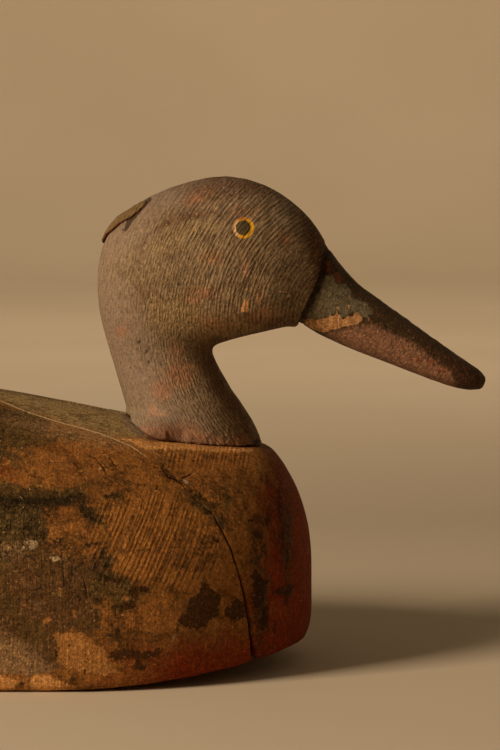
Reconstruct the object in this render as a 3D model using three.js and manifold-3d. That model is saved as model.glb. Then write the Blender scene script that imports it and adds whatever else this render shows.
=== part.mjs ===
// Working duck decoy: a solid carved body, a separate carved head seated on it, and a thin
// repair patch on the back of the crown. Millimetres, +Z up, +X towards the bill. The origin
// is on the table under the middle of the bounding box.
import * as THREE from 'three';
import { mergeVertices } from 'three/addons/utils/BufferGeometryUtils.js';
import Module from 'manifold-3d';

const wasm = await Module();
wasm.setup();

// Body: overall sizes
const BODY_FRONT = 139.2;         // x of the breast
const BODY_REAR = -207;           // x of the tail's tip
const BODY_HALF_WIDTH = 82;       // at the shoulders
const FLOOR_HALF_WIDTH = 75;      // flat underside, same place
const SHOULDER_X = 45;            // from here the plan closes in as a half ellipse
const FLOOR_FRONT = 137.4;        // x where the underside ends at the breast
const ROCKER_START = 47;          // the underside lifts from here to the breast
const ROCKER_LIFT = 10;
const BREAST_CENTRE = { x: 100, z: 38 };
const BREAST_HEIGHT = 55;         // half height of the breast's ellipse
const CHIN_RADIUS = { x: 3.2, z: 11 };   // rounding between the breast and the underside
const BREAST_BLEND = 1.1;         // softness where the back runs into the breast
const TAIL_ROUND = 22;            // length of the tail's round end in plan

// Body: lines along its length, as [x, value]
const BACK_LINE = [[BODY_REAR, 66.5], [-192, 69], [-165, 76.5], [-130, 91], [-90, 103.3],
  [-50, 109], [-15, 108.8], [18.5, 104.5], [65, 95.7], [118, 85.6], [BODY_FRONT, 81.5]];
const BOTTOM_LINE = [[BODY_REAR, 58.5], [-195, 54.5], [-180, 45], [-165, 30.5], [-150, 14.5],
  [-136, 3.5], [-120, 0], [ROCKER_START, 0]];
const PLAN_LINE = [[BODY_REAR, 26], [-192, 28.5], [-175, 34.5], [-150, 49], [-120, 63.5], [-80, 75.5],
  [-40, 80.7], [10, BODY_HALF_WIDTH], [SHOULDER_X, BODY_HALF_WIDTH - 0.4]];
const FLOOR_SHARE = [[BODY_REAR, 0.5], [-165, 0.55], [-135, 0.74], [-100, 0.86],
  [-50, 0.91], [SHOULDER_X, FLOOR_HALF_WIDTH / BODY_HALF_WIDTH]];

const WIDEST_SHARE = 0.4;         // height of the widest line, as a share of the depth
const TOP_POWER = 2.15;           // fullness of the section above the widest line
const SIDE_POWER = 2.6;           // and below it, down to the flat
const FLOOR_LIMIT = 0.95;         // most of the half width that the flat takes
const BODY_POINTS = { upper: 16, lower: 5, floor: 2 };   // half a section
const BODY_STEPS = { rear: 27, front: 19 };
const END_SHARES = { rear: 0.002, front: 0.001 };        // the first cut's distance from each end
const REAR_SPACING = { even: 0.65, power: 1.25 };        // cuts crowd towards the tail

// Head: each station is a cut from the back of the head to its front, as [x, z] of both
// ends, with the half width, where the cut is widest (0 front, 1 back) and how full its
// front and back ends are.
const SKULL = [
  { back: [72, 80], front: [122, 78], half: 25, widest: 0.5, full: [2.1, 2.1] },
  { back: [68, 96], front: [116, 93.2], half: 23.6, widest: 0.5, full: [2.1, 2.1] },
  { back: [65.3, 105.3], front: [107.8, 105.3], half: 21, widest: 0.5, full: [2.05, 2.1] },
  { back: [62.2, 116.1], front: [101.7, 116.3], half: 19.2, widest: 0.5, full: [2, 2.1] },
  { back: [58.4, 129.3], front: [100.6, 120.2], half: 20.6, widest: 0.5, full: [2, 2.1] },
  { back: [56.2, 143.2], front: [101.8, 121.8], half: 23.6, widest: 0.48, full: [2.1, 2.1] },
  { back: [57.7, 158.6], front: [104.2, 122.8], half: 26.4, widest: 0.46, full: [2.2, 2.1] },
  { back: [64.3, 170.5], front: [107.6, 123.9], half: 28.4, widest: 0.44, full: [2.3, 2.1] },
  { back: [76.7, 179.4], front: [111.6, 125], half: 29.6, widest: 0.43, full: [2.4, 2.1] },
  { back: [92, 185.1], front: [116, 126.1], half: 29.8, widest: 0.42, full: [2.5, 2.1] },
  { back: [106.6, 187.1], front: [120.6, 127.2], half: 29, widest: 0.42, full: [2.5, 2.1] },
  { back: [119.7, 184], front: [125, 128.2], half: 27, widest: 0.42, full: [2.5, 2.1] },
  { back: [130.5, 177.8], front: [129, 129], half: 23.6, widest: 0.44, full: [2.4, 2.05] },
  { back: [138.9, 169.7], front: [132.2, 129.4], half: 20, widest: 0.46, full: [2.3, 2] },
  { back: [144.3, 161.3], front: [134.4, 129.3], half: 17, widest: 0.48, full: [2.2, 2] },
];
const BILL = [
  { back: [144.7, 160.4], front: [135.4, 129.8], half: 15.2, widest: 0.48, full: [2.2, 2] },
  { back: [149.8, 153.2], front: [141.3, 126.5], half: 14.2, widest: 0.45, full: [2.3, 2] },
  { back: [156.2, 146.1], front: [149, 122.9], half: 13.5, widest: 0.42, full: [2.4, 2] },
  { back: [163.7, 140.5], front: [157.5, 119.3], half: 13.1, widest: 0.4, full: [2.5, 2.1] },
  { back: [183.8, 126.2], front: [178.4, 111.1], half: 13, widest: 0.4, full: [2.5, 2.2] },
  { back: [196, 117.6], front: [191, 106.4], half: 12.2, widest: 0.42, full: [2.4, 2.2] },
  { back: [203.4, 112.6], front: [199.6, 104.5], half: 8.9, widest: 0.45, full: [2.2, 2.2] },
  { back: [206.5, 109], front: [204.6, 104.8], half: 3.4, widest: 0.5, full: [2, 2] },
];
const HEAD_AROUND = 38;           // points round a cut
const HEAD_SUBSTEPS = 2;          // cuts from one station to the next

// Eye: a ring cut into the wood on each side of the head
const EYE = { x: 112.5, z: 167.9, inner: 2.9, outer: 4.2, depth: 0.6, clear: 3, sides: 28 };

// Repair patch on the back of the crown
const PATCH = { x: 64.6, z: 171.8, angle: 134, length: 19.4, width: 28, thick: 1, cutter: 16,
  sides: 26 };

// Drying check in the breast, on the near side, as [x, z] down the body
const CHECK_LINE = [[94, 69.5], [102.3, 60], [110.7, 41.5], [114.4, 25.6], [116.6, 4]];
const CHECK = { top: 0.4, bottom: 1.2, depth: 5, steps: 12, nearest: 38 };

// Seat: a flat cut into the back for the neck, with a round wall behind it that opens
// towards both sides. Its x and z are the middle of the flat.
const SEAT = { x: 94.5, z: 85.6, tilt: 5.3, radius: 25.2, arc: 50, flare: 24, side: 60, front: 40,
  height: 30, sides: 8 };

const SEAT_GAP = 0.3;             // clearance between touching pieces
const OUTSIDE = BODY_HALF_WIDTH + 10;    // y clear of the whole decoy
const WELD = 1e-4;                // points nearer than this are one

const PAINT = {
  body: { color: 0x7d5430, roughness: 0.72, metalness: 0 },
  head: { color: 0x6c5744, roughness: 0.75, metalness: 0 },
  patch: { color: 0x67503f, roughness: 0.75, metalness: 0 },
};

// Cubic curve through [x, y] points, with slopes that never overshoot them
function curveThrough(points) {
  const last = points.length - 1;
  const steep = (i) => (points[i + 1][1] - points[i][1]) / (points[i + 1][0] - points[i][0]);
  const slope = points.map((_, i) => {
    if (i === 0) return steep(0);
    if (i === last) return steep(last - 1);
    const before = steep(i - 1);
    const after = steep(i);
    return before * after <= 0 ? 0 : 2 * before * after / (before + after);
  });
  return (x) => {
    let i = 0;
    while (i < last - 1 && x > points[i + 1][0]) i += 1;
    const run = points[i + 1][0] - points[i][0];
    const t = THREE.MathUtils.clamp((x - points[i][0]) / run, 0, 1);
    const t2 = t * t;
    const t3 = t2 * t;
    return (2 * t3 - 3 * t2 + 1) * points[i][1] + (t3 - 2 * t2 + t) * run * slope[i]
      + (3 * t2 - 2 * t3) * points[i + 1][1] + (t3 - t2) * run * slope[i + 1];
  };
}

// Height of a quarter ellipse at a share u of its run: 1 at the start, 0 at the end
const quarter = (u) => Math.sqrt(Math.max(0, 1 - u * u));

const backLine = curveThrough(BACK_LINE);
const bottomLine = curveThrough(BOTTOM_LINE);
const planLine = curveThrough(PLAN_LINE);
const floorShare = curveThrough(FLOOR_SHARE);

// Sizes of the body's section at x
function bodySize(x) {
  const ahead = Math.max(0, (x - BREAST_CENTRE.x) / (BODY_FRONT - BREAST_CENTRE.x));
  const breast = BREAST_CENTRE.z + BREAST_HEIGHT * quarter(ahead);
  const back = backLine(x);
  const gap = (breast - back) / BREAST_BLEND;
  const top = x < BREAST_CENTRE.x ? back : back - BREAST_BLEND * Math.log1p(Math.exp(-gap));
  const rocker = Math.max(0, (x - ROCKER_START) / (BODY_FRONT - ROCKER_START));
  const corner = Math.max(0, (x - BODY_FRONT + CHIN_RADIUS.x) / CHIN_RADIUS.x);
  const bottom = x < ROCKER_START ? bottomLine(x)
    : ROCKER_LIFT * rocker ** 1.5 + CHIN_RADIUS.z * (1 - quarter(corner));
  const rearward = Math.max(0, (BODY_REAR + TAIL_ROUND - x) / TAIL_ROUND);
  const forward = Math.max(0, (x - SHOULDER_X) / (BODY_FRONT - SHOULDER_X));
  const floorForward = Math.max(0, (x - SHOULDER_X) / (FLOOR_FRONT - SHOULDER_X));
  const half = planLine(x) * quarter(rearward) * quarter(forward);
  const floor = x < SHOULDER_X ? half * floorShare(x) : FLOOR_HALF_WIDTH * quarter(floorForward);
  return { top, bottom, half, floor: Math.min(floor, half * FLOOR_LIMIT) };
}

// The body's section at x as [y, z] points all the way round, grown outwards by swell
function bodySection(x, swell) {
  const size = bodySize(x);
  const middle = size.bottom + WIDEST_SHARE * (size.top - size.bottom);
  const right = [];
  for (let i = 0; i <= BODY_POINTS.upper; i += 1) {
    const a = (i / BODY_POINTS.upper) * Math.PI / 2;
    const y = (size.half + swell) * Math.sin(a) ** (2 / TOP_POWER);
    right.push([y, middle + (size.top + swell - middle) * Math.cos(a) ** (2 / TOP_POWER)]);
  }
  for (let i = 1; i <= BODY_POINTS.lower; i += 1) {
    const a = (i / BODY_POINTS.lower) * Math.PI / 2;
    const y = size.floor + (size.half + swell - size.floor) * Math.cos(a) ** (2 / SIDE_POWER);
    right.push([y, middle - (middle - size.bottom + swell) * Math.sin(a) ** (2 / SIDE_POWER)]);
  }
  for (let i = 1; i <= BODY_POINTS.floor; i += 1) {
    right.push([size.floor * (1 - i / BODY_POINTS.floor), size.bottom - swell]);
  }
  const left = right.slice(1, -1).reverse().map(([y, z]) => [-y, z]);
  return [...right, ...left].map(([y, z]) => new THREE.Vector3(x, y, z));
}

// Stations along the body, close together at both round ends
function bodyStations() {
  const rear = THREE.MathUtils.lerp(BODY_REAR, SHOULDER_X, END_SHARES.rear);
  const front = THREE.MathUtils.lerp(BODY_FRONT, SHOULDER_X, END_SHARES.front);
  const stations = [];
  for (let i = 0; i < BODY_STEPS.rear; i += 1) {
    const t = i / BODY_STEPS.rear;
    const share = THREE.MathUtils.lerp(t * t, t ** REAR_SPACING.power, REAR_SPACING.even);
    stations.push(THREE.MathUtils.lerp(rear, SHOULDER_X, share));
  }
  for (let i = 0; i <= BODY_STEPS.front; i += 1) {
    const share = Math.sin((i / BODY_STEPS.front) * Math.PI / 2);
    stations.push(THREE.MathUtils.lerp(SHOULDER_X, front, share));
  }
  return stations;
}

// Closed mesh through a row of loops of equal length, with a centre point in each end
function loft(loops) {
  const around = loops[0].length;
  const points = loops.flat();
  const faces = [];
  for (let i = 0; i + 1 < loops.length; i += 1) {
    for (let j = 0; j < around; j += 1) {
      const a = i * around + j;
      const b = i * around + ((j + 1) % around);
      faces.push(a, a + around, b, b, a + around, b + around);
    }
  }
  const centre = (loop) => loop.reduce((sum, p) => sum.add(p), new THREE.Vector3()).divideScalar(around);
  const tail = points.push(centre(loops[0])) - 1;
  const nose = points.push(centre(loops[loops.length - 1])) - 1;
  const end = (loops.length - 1) * around;
  for (let j = 0; j < around; j += 1) {
    const next = (j + 1) % around;
    faces.push(tail, j, next, nose, end + next, end + j);
  }
  const geometry = new THREE.BufferGeometry().setFromPoints(points);
  geometry.setIndex(faces);
  return geometry;
}

// Catmull-Rom blend of one station value across four stations
function blend(values, t) {
  const [a, b, c, d] = values;
  return 0.5 * (2 * b + (c - a) * t + (2 * a - 5 * b + 4 * c - d) * t * t
    + (3 * b - a - 3 * c + d) * t * t * t);
}

// Stations filled in with smooth steps between them
function filled(stations, substeps) {
  const result = [];
  const last = stations.length - 1;
  for (let k = 0; k < last; k += 1) {
    const near = [k - 1, k, k + 1, k + 2].map((i) => stations[THREE.MathUtils.clamp(i, 0, last)]);
    for (let s = 0; s < substeps; s += 1) {
      const t = s / substeps;
      const pair = (name) => [0, 1].map((i) => blend(near.map((n) => n[name][i]), t));
      result.push({
        back: pair('back'),
        front: pair('front'),
        full: pair('full'),
        half: blend(near.map((n) => n.half), t),
        widest: blend(near.map((n) => n.widest), t),
      });
    }
  }
  result.push(stations[last]);
  return result;
}

// One cut of the head as points all the way round, grown outwards by swell
function headCut(station, swell) {
  const back = new THREE.Vector3(station.back[0], 0, station.back[1]);
  const front = new THREE.Vector3(station.front[0], 0, station.front[1]);
  const along = back.clone().sub(front).normalize();
  back.addScaledVector(along, swell);
  front.addScaledVector(along, -swell);
  const middle = front.clone().lerp(back, station.widest);
  const loop = [];
  for (let j = 0; j < HEAD_AROUND; j += 1) {
    const a = (j / HEAD_AROUND) * 2 * Math.PI;
    const c = Math.cos(a);
    const s = Math.sin(a);
    const power = 2 / (c < 0 ? station.full[0] : station.full[1]);
    const reach = (c < 0 ? middle.distanceTo(front) : middle.distanceTo(back)) * Math.sign(c);
    const point = middle.clone().addScaledVector(along, reach * Math.abs(c) ** power);
    point.y = (station.half + swell) * Math.sign(s) * Math.abs(s) ** power;
    loop.push(point);
  }
  return loop;
}

const headLoft = (swell) => loft([...filled(SKULL, HEAD_SUBSTEPS), ...filled(BILL, HEAD_SUBSTEPS)]
  .map((station) => headCut(station, swell)));
const bodyLoft = (swell) => loft(bodyStations().map((x) => bodySection(x, swell)));

// Between three.js geometry and solids that can be joined and cut
function solidOf(geometry) {
  const bare = geometry.clone();
  bare.deleteAttribute('normal');
  bare.deleteAttribute('uv');
  const merged = mergeVertices(bare, WELD);
  return new wasm.Manifold(new wasm.Mesh({
    numProp: 3,
    vertProperties: Float32Array.from(merged.attributes.position.array),
    triVerts: Uint32Array.from(merged.index.array),
  }));
}

function geometryOf(solid) {
  const mesh = solid.getMesh();
  const geometry = new THREE.BufferGeometry();
  geometry.setAttribute('position', new THREE.BufferAttribute(Float32Array.from(mesh.vertProperties), 3));
  geometry.setIndex(new THREE.BufferAttribute(Uint32Array.from(mesh.triVerts), 1));
  geometry.computeVertexNormals();
  return geometry;
}

// Where a line along Y at x, z meets the outside of a shape, and the way it faces there
function surfaceAt(geometry, x, z, side) {
  const ray = new THREE.Raycaster(new THREE.Vector3(x, side * OUTSIDE, z), new THREE.Vector3(0, -side, 0));
  const probe = new THREE.Mesh(geometry, new THREE.MeshBasicMaterial({ side: THREE.DoubleSide }));
  const hit = ray.intersectObject(probe)[0];
  const normal = hit.face.normal.clone();
  if (normal.y * side < 0) normal.negate();
  return { point: hit.point, normal };
}

// Ring-shaped cutter for one eye, standing on the head's surface
function eyeCutter(geometry, side) {
  const profile = [[EYE.inner, -EYE.depth], [EYE.outer, -EYE.depth], [EYE.outer, EYE.clear],
    [EYE.inner, EYE.clear], [EYE.inner, -EYE.depth]];
  const corners = profile.map(([r, h]) => new THREE.Vector2(r, h));
  const ring = new THREE.LatheGeometry(corners, EYE.sides);
  const { point, normal } = surfaceAt(geometry, EYE.x, EYE.z, side);
  const turn = new THREE.Quaternion().setFromUnitVectors(new THREE.Vector3(0, 1, 0), normal);
  return solidOf(ring.applyQuaternion(turn).translate(point.x, point.y, point.z));
}

// Blade along the drying check, wider towards the underside
function checkCutter() {
  const curve = new THREE.SplineCurve(CHECK_LINE.map(([x, z]) => new THREE.Vector2(x, z)));
  const points = curve.getPoints(CHECK.steps);
  const edge = (sign) => points.map((p, i) => {
    const half = sign * THREE.MathUtils.lerp(CHECK.top, CHECK.bottom, i / CHECK.steps) / 2;
    return new THREE.Vector2(p.x + half, p.y);
  });
  const outline = new THREE.Shape([...edge(1), ...edge(-1).reverse()]);
  const blade = new THREE.ExtrudeGeometry(outline, { depth: OUTSIDE - CHECK.nearest, bevelEnabled: false });
  blade.rotateX(Math.PI / 2);
  blade.translate(0, -CHECK.nearest, 0);
  return solidOf(blade).subtract(solidOf(bodyLoft(-CHECK.depth)));
}

// Space over the seat, drawn in on all sides by a margin
function seatCutter(margin) {
  const radius = SEAT.radius - margin;
  const half = THREE.MathUtils.degToRad(SEAT.arc);
  const outline = new THREE.Shape();
  outline.moveTo(SEAT.front, SEAT.side);
  outline.lineTo(margin - SEAT.flare, SEAT.side);
  outline.absarc(0, 0, radius, Math.PI - half, Math.PI + half, false);
  outline.lineTo(margin - SEAT.flare, -SEAT.side);
  outline.lineTo(SEAT.front, -SEAT.side);
  const block = new THREE.ExtrudeGeometry(outline, {
    depth: SEAT.height, bevelEnabled: false, curveSegments: SEAT.sides,
  });
  block.translate(0, 0, margin);
  block.rotateY(THREE.MathUtils.degToRad(SEAT.tilt));
  block.translate(SEAT.x, 0, SEAT.z);
  return solidOf(block);
}

const bodySolid = () => solidOf(bodyLoft(0)).subtract(checkCutter()).subtract(seatCutter(0));

// Patch: a thin skin over the crown, cut to an oval
function patchSolid() {
  const tilt = THREE.MathUtils.degToRad(PATCH.angle);
  const outward = new THREE.Vector3(Math.cos(tilt), 0, Math.sin(tilt));
  const oval = new THREE.CylinderGeometry(1, 1, PATCH.cutter, PATCH.sides);
  oval.scale(PATCH.length / 2, 1, PATCH.width / 2);
  oval.applyQuaternion(new THREE.Quaternion().setFromUnitVectors(new THREE.Vector3(0, 1, 0), outward));
  oval.translate(PATCH.x, 0, PATCH.z);
  const skin = solidOf(headLoft(SEAT_GAP + PATCH.thick)).subtract(solidOf(headLoft(SEAT_GAP)));
  return skin.intersect(solidOf(oval));
}

function headSolid() {
  const whole = headLoft(0);
  return solidOf(whole)
    .subtract(eyeCutter(whole, -1))
    .subtract(eyeCutter(whole, 1))
    .subtract(solidOf(bodyLoft(SEAT_GAP)).subtract(seatCutter(SEAT_GAP)));
}

function piece(name, solid, paint) {
  const mesh = new THREE.Mesh(geometryOf(solid), new THREE.MeshStandardMaterial(paint));
  mesh.name = name;
  return mesh;
}

const decoy = new THREE.Group();
decoy.add(piece('body', bodySolid(), PAINT.body));
decoy.add(piece('head', headSolid(), PAINT.head));
decoy.add(piece('crown_patch', patchSolid(), PAINT.patch));

export default decoy;
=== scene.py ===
"""A worn working duck decoy, carved in wood and painted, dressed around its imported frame.

Sizes are millimetres on the frame's own axes: x towards the bill, z up, and negative y on the
side that the camera sees. Worn areas of paint are placed by the photograph's own pixels, which
the viewpoint turns to places on the carving. Meshes are made in metres.
"""

import logging
import math
from dataclasses import dataclass, field
from enum import Enum
from typing import Any, Callable

import bpy
import numpy as np
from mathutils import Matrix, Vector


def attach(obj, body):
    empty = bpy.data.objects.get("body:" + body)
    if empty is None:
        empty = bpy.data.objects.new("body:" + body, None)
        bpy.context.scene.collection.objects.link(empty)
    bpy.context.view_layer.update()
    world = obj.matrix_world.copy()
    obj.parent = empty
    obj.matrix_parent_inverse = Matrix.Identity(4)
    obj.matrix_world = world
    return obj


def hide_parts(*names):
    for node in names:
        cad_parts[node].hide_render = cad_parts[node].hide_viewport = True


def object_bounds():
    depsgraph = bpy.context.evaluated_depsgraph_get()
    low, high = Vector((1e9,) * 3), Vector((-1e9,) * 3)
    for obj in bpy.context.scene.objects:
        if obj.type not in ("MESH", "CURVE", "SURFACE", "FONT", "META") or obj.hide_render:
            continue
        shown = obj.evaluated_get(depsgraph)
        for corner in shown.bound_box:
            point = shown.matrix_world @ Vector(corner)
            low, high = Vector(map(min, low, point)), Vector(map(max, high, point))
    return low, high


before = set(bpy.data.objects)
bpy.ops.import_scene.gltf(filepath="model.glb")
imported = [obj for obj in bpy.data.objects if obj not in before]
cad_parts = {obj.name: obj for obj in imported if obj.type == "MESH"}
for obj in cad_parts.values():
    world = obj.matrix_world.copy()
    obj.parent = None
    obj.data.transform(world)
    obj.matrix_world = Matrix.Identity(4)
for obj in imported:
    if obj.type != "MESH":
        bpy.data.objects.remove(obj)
CAD_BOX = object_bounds()

LOG = logging.getLogger("decoy")
MM = 0.001
FIELD_LIMIT = 9.0
STROKE_ARC = 90.0
NOISE_WAVE = 1.7
WEAR_STRETCH = (0.7, 1.0, 1.1)
HASH_STEPS = (73856093, 19349663, 83492791)
HASH_MIXES = ((13, 1274126177), (15, 2246822519))
Array = np.ndarray
Line = tuple[tuple[float, float], ...]


class Layer(Enum):
    """The finishes that lie in patches over the ground colour, by attribute name."""

    DARK = "old_dark_coat"
    BARE = "bare_wood"
    ORANGE = "worn_ochre"
    RUST = "rust_coat"
    RED = "red_brown_and_painted_shade"
    FILM = "grey_film"
    OLIVE = "olive_coat"
    CHIP = "pale_chip"
    RASP = "rasped"
    CRACK = "drying_check"
    SCRATCH = "scratch"
    SLATE = "slate"
    PINK = "rubbed_pink_and_lit_ledge"
    SMOOTH = "rubbed_smooth"
    PUTTY = "putty"
    BILL = "bill"
    PIT = "pits"
    TAN = "rubbed_tan"
    SOOT = "soot_coat"
    NECK = "lit_neck_paint"


def linear(colour: str) -> tuple[float, float, float, float]:
    """Turns an sRGB hex colour to the linear values a shader takes.

    Args:
        colour: Six hex digits after a hash sign.

    Returns:
        Red, green, blue and an alpha of one.
    """
    parts = [int(colour[i : i + 2], 16) / 255 for i in (1, 3, 5)]
    red, green, blue = (c / 12.92 if c <= 0.04045 else ((c + 0.055) / 1.055) ** 2.4 for c in parts)
    return red, green, blue, 1.0


@dataclass(frozen=True)
class Viewpoint:
    """Where the photograph was taken from, in millimetres and degrees, and its frame."""

    place: tuple[float, float, float] = (115.1, -1200.0, 201.0)
    pitch: float = 4.321
    lens: float = 149.6
    sensor: float = 36.0
    width: int = 500
    height: int = 750

    def seen(self, points: Array) -> Array:
        """Finds where points show in the photograph.

        Args:
            points: Places, three numbers to a row.

        Returns:
            Column and row in the photograph for each point.
        """
        pitch = math.radians(self.pitch)
        away = points - np.array(self.place)
        depth = away[:, 1] * math.cos(pitch) - away[:, 2] * math.sin(pitch)
        up = away[:, 1] * math.sin(pitch) + away[:, 2] * math.cos(pitch)
        scale = self.lens / self.sensor * self.height / depth
        return np.stack([self.width / 2 + away[:, 0] * scale, self.height / 2 - up * scale], 1)


VIEW = Viewpoint()
PIXEL = 0.37

# Where things are on the carving, in x and z

BODY_RASP_CENTRE = (-100.0, 130.0)
GRAIN_CENTRE = (-420.0, 30.0)
HEAD_RASP_CENTRE = (157.0, 132.0)
EYE_CENTRE = (112.5, 167.9)
EYE_RADIUS = 4.0
PUPIL_RADIUS = 2.75
PATCH_OUTWARD = (math.cos(math.radians(134)), 0.0, math.sin(math.radians(134)))


# Noise over points, for relief and for what the photograph doesn't show


def lattice(cells: Array, seed: int) -> Array:
    """Gives every whole-numbered cell its own steady value.

    Args:
        cells: Whole numbers, three to a row.
        seed: Which set of values to use.

    Returns:
        One value from -1 to 1 for each row.
    """
    code = np.bitwise_xor.reduce(cells.astype(np.int64) * HASH_STEPS, axis=1) ^ (seed * 40503 + 977)
    for shift, factor in HASH_MIXES:
        code = (code ^ (code >> shift)) * factor & 0x7FFFFFFF
    return ((code ^ (code >> 11)) & 0xFFFF) / 32767.5 - 1.0


def noise(points: Array, seed: int) -> Array:
    """Smooth noise with a wavelength of about two units.

    Args:
        points: Places, three numbers to a row.
        seed: Which noise to use.

    Returns:
        One value from -1 to 1 for each point.
    """
    cell = np.floor(points)
    part = points - cell
    fade = part * part * part * (part * (part * 6 - 15) + 10)
    total = np.zeros(len(points))
    for corner in range(8):
        step = np.array([corner & 1, corner >> 1 & 1, corner >> 2 & 1])
        share = np.prod(np.where(step == 1, fade, 1 - fade), axis=1)
        total += share * lattice(cell + step, seed)
    return total


def layered(points: Array, size: float, octaves: int, seed: int) -> Array:
    """Several noises on top of each other, each half the size of the last.

    Args:
        points: Places in millimetres.
        size: Size of the largest shapes, in millimetres.
        octaves: How many noises to add.
        seed: Which noise to start from.

    Returns:
        One value from about -1 to 1 for each point.
    """
    total = np.zeros(len(points))
    weight = 1.0
    for step in range(octaves):
        total += weight * noise(points * (2.0**step / size), seed + step * 17)
        weight *= 0.5
    return total / (2.0 - 2.0 * weight)


def ramp(value: Array, low: float, high: float) -> Array:
    """Smooth step from 0 at low to 1 at high."""
    share = np.clip((value - low) / (high - low), 0.0, 1.0)
    return share * share * (3 - 2 * share)


def beside(spots: Array, line: Line) -> tuple[Array, Array]:
    """Measures how far spots are from a line of straight stretches, and on which side.

    Args:
        spots: Two numbers to a row, the second growing downwards.
        line: The line's corners.

    Returns:
        The distance, positive above a line drawn rightwards, and the share of its length
        passed.
    """
    corners = np.array(line, float)
    lengths = np.linalg.norm(np.diff(corners, axis=0), axis=1)
    best = np.full(len(spots), np.inf)
    signed = np.zeros(len(spots))
    share = np.zeros(len(spots))
    run = 0.0
    for start, end, length in zip(corners[:-1], corners[1:], lengths):
        way = (end - start) / length
        off = spots - start
        along = np.clip(off @ way, 0, length)
        gap = np.linalg.norm(off - along[:, None] * way, axis=1)
        side = np.where(off[:, 0] * way[1] - off[:, 1] * way[0] < 0, -1, 1)
        nearer = gap < best
        best = np.where(nearer, gap, best)
        signed = np.where(nearer, gap * side, signed)
        share = np.where(nearer, (run + along) / lengths.sum(), share)
        run += length
    return signed, share


@dataclass(frozen=True)
class Outline:
    """An area of one finish, by its corners in the photograph's pixels."""

    layer: Layer
    corners: Line
    both_sides: bool

    def field(self, seen: Array) -> Array:
        """Distance inside the area's edge, negative outside, in millimetres.

        Args:
            seen: Column and row of each point in the photograph.

        Returns:
            One distance for each point.
        """
        corners = np.array(self.corners, float)
        gap, _ = beside(seen, (*self.corners, self.corners[0]))
        inside = np.zeros(len(seen), bool)
        for (x0, y0), (x1, y1) in zip(corners, np.roll(corners, -1, axis=0)):
            if y0 != y1:
                crosses = (y0 > seen[:, 1]) != (y1 > seen[:, 1])
                inside ^= crosses & (seen[:, 0] < (x1 - x0) * (seen[:, 1] - y0) / (y1 - y0) + x0)
        return np.where(inside, 1, -1) * np.abs(gap) * PIXEL


@dataclass(frozen=True)
class Oval:
    """An oval of one finish, by its middle and half sizes in the photograph's pixels."""

    layer: Layer
    x: float
    y: float
    rx: float
    ry: float
    turn: float = 0.0
    both_sides: bool = False

    def field(self, seen: Array) -> Array:
        """Distance inside the oval's edge, negative outside, in millimetres.

        Args:
            seen: Column and row of each point in the photograph.

        Returns:
            One distance for each point.
        """
        angle = math.radians(self.turn)
        dx = seen[:, 0] - self.x
        dy = seen[:, 1] - self.y
        across = dx * math.cos(angle) - dy * math.sin(angle)
        down = dy * math.cos(angle) + dx * math.sin(angle)
        return (1 - np.hypot(across / self.rx, down / self.ry)) * min(self.rx, self.ry) * PIXEL


def outlines(layer: Layer, *corners: Line, both_sides: bool = False) -> tuple[Outline, ...]:
    """Areas of one finish, each by its corners."""
    return tuple(Outline(layer, line, both_sides) for line in corners)


def ovals(layer: Layer, *places: tuple[float, ...]) -> tuple[Oval, ...]:
    """Ovals of one finish, each by its middle, its half sizes and its turn."""
    return tuple(Oval(layer, *place) for place in places)


@dataclass(frozen=True)
class Wear:
    """Worn patches of one finish over what the photograph doesn't show."""

    layer: Layer
    size: float
    level: float
    seed: int

    def field(self, points: Array) -> Array:
        """Distance inside the patches' edges, negative outside, in millimetres."""
        return 0.8 * self.size * (layered(points * WEAR_STRETCH, self.size, 5, self.seed) - self.level)


# Meshes


def read(items: bpy.types.bpy_prop_collection, name: str, width: int) -> Array:
    """Reads one property of every vertex or face.

    Args:
        items: The vertices or faces.
        name: The property.
        width: How many numbers it has.

    Returns:
        One row of numbers for each vertex or face.
    """
    values = np.empty(len(items) * width, np.float32)
    items.foreach_get(name, values)
    return values.reshape(-1, width).astype(float)


def only(piece: bpy.types.Object) -> None:
    """Selects one object alone and makes it the active one.

    Args:
        piece: The object.
    """
    bpy.ops.object.select_all(action="DESELECT")
    piece.select_set(True)
    bpy.context.view_layer.objects.active = piece


def apply(piece: bpy.types.Object, kind: str, **settings: Any) -> None:
    """Adds one modifier with its settings and applies it.

    Args:
        piece: The object to shape.
        kind: The modifier's type.
        settings: Its properties.
    """
    only(piece)
    modifier = piece.modifiers.new(kind.lower(), kind)
    for name, value in settings.items():
        setattr(modifier, name, value)
    bpy.ops.object.modifier_apply(modifier=modifier.name)


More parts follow.
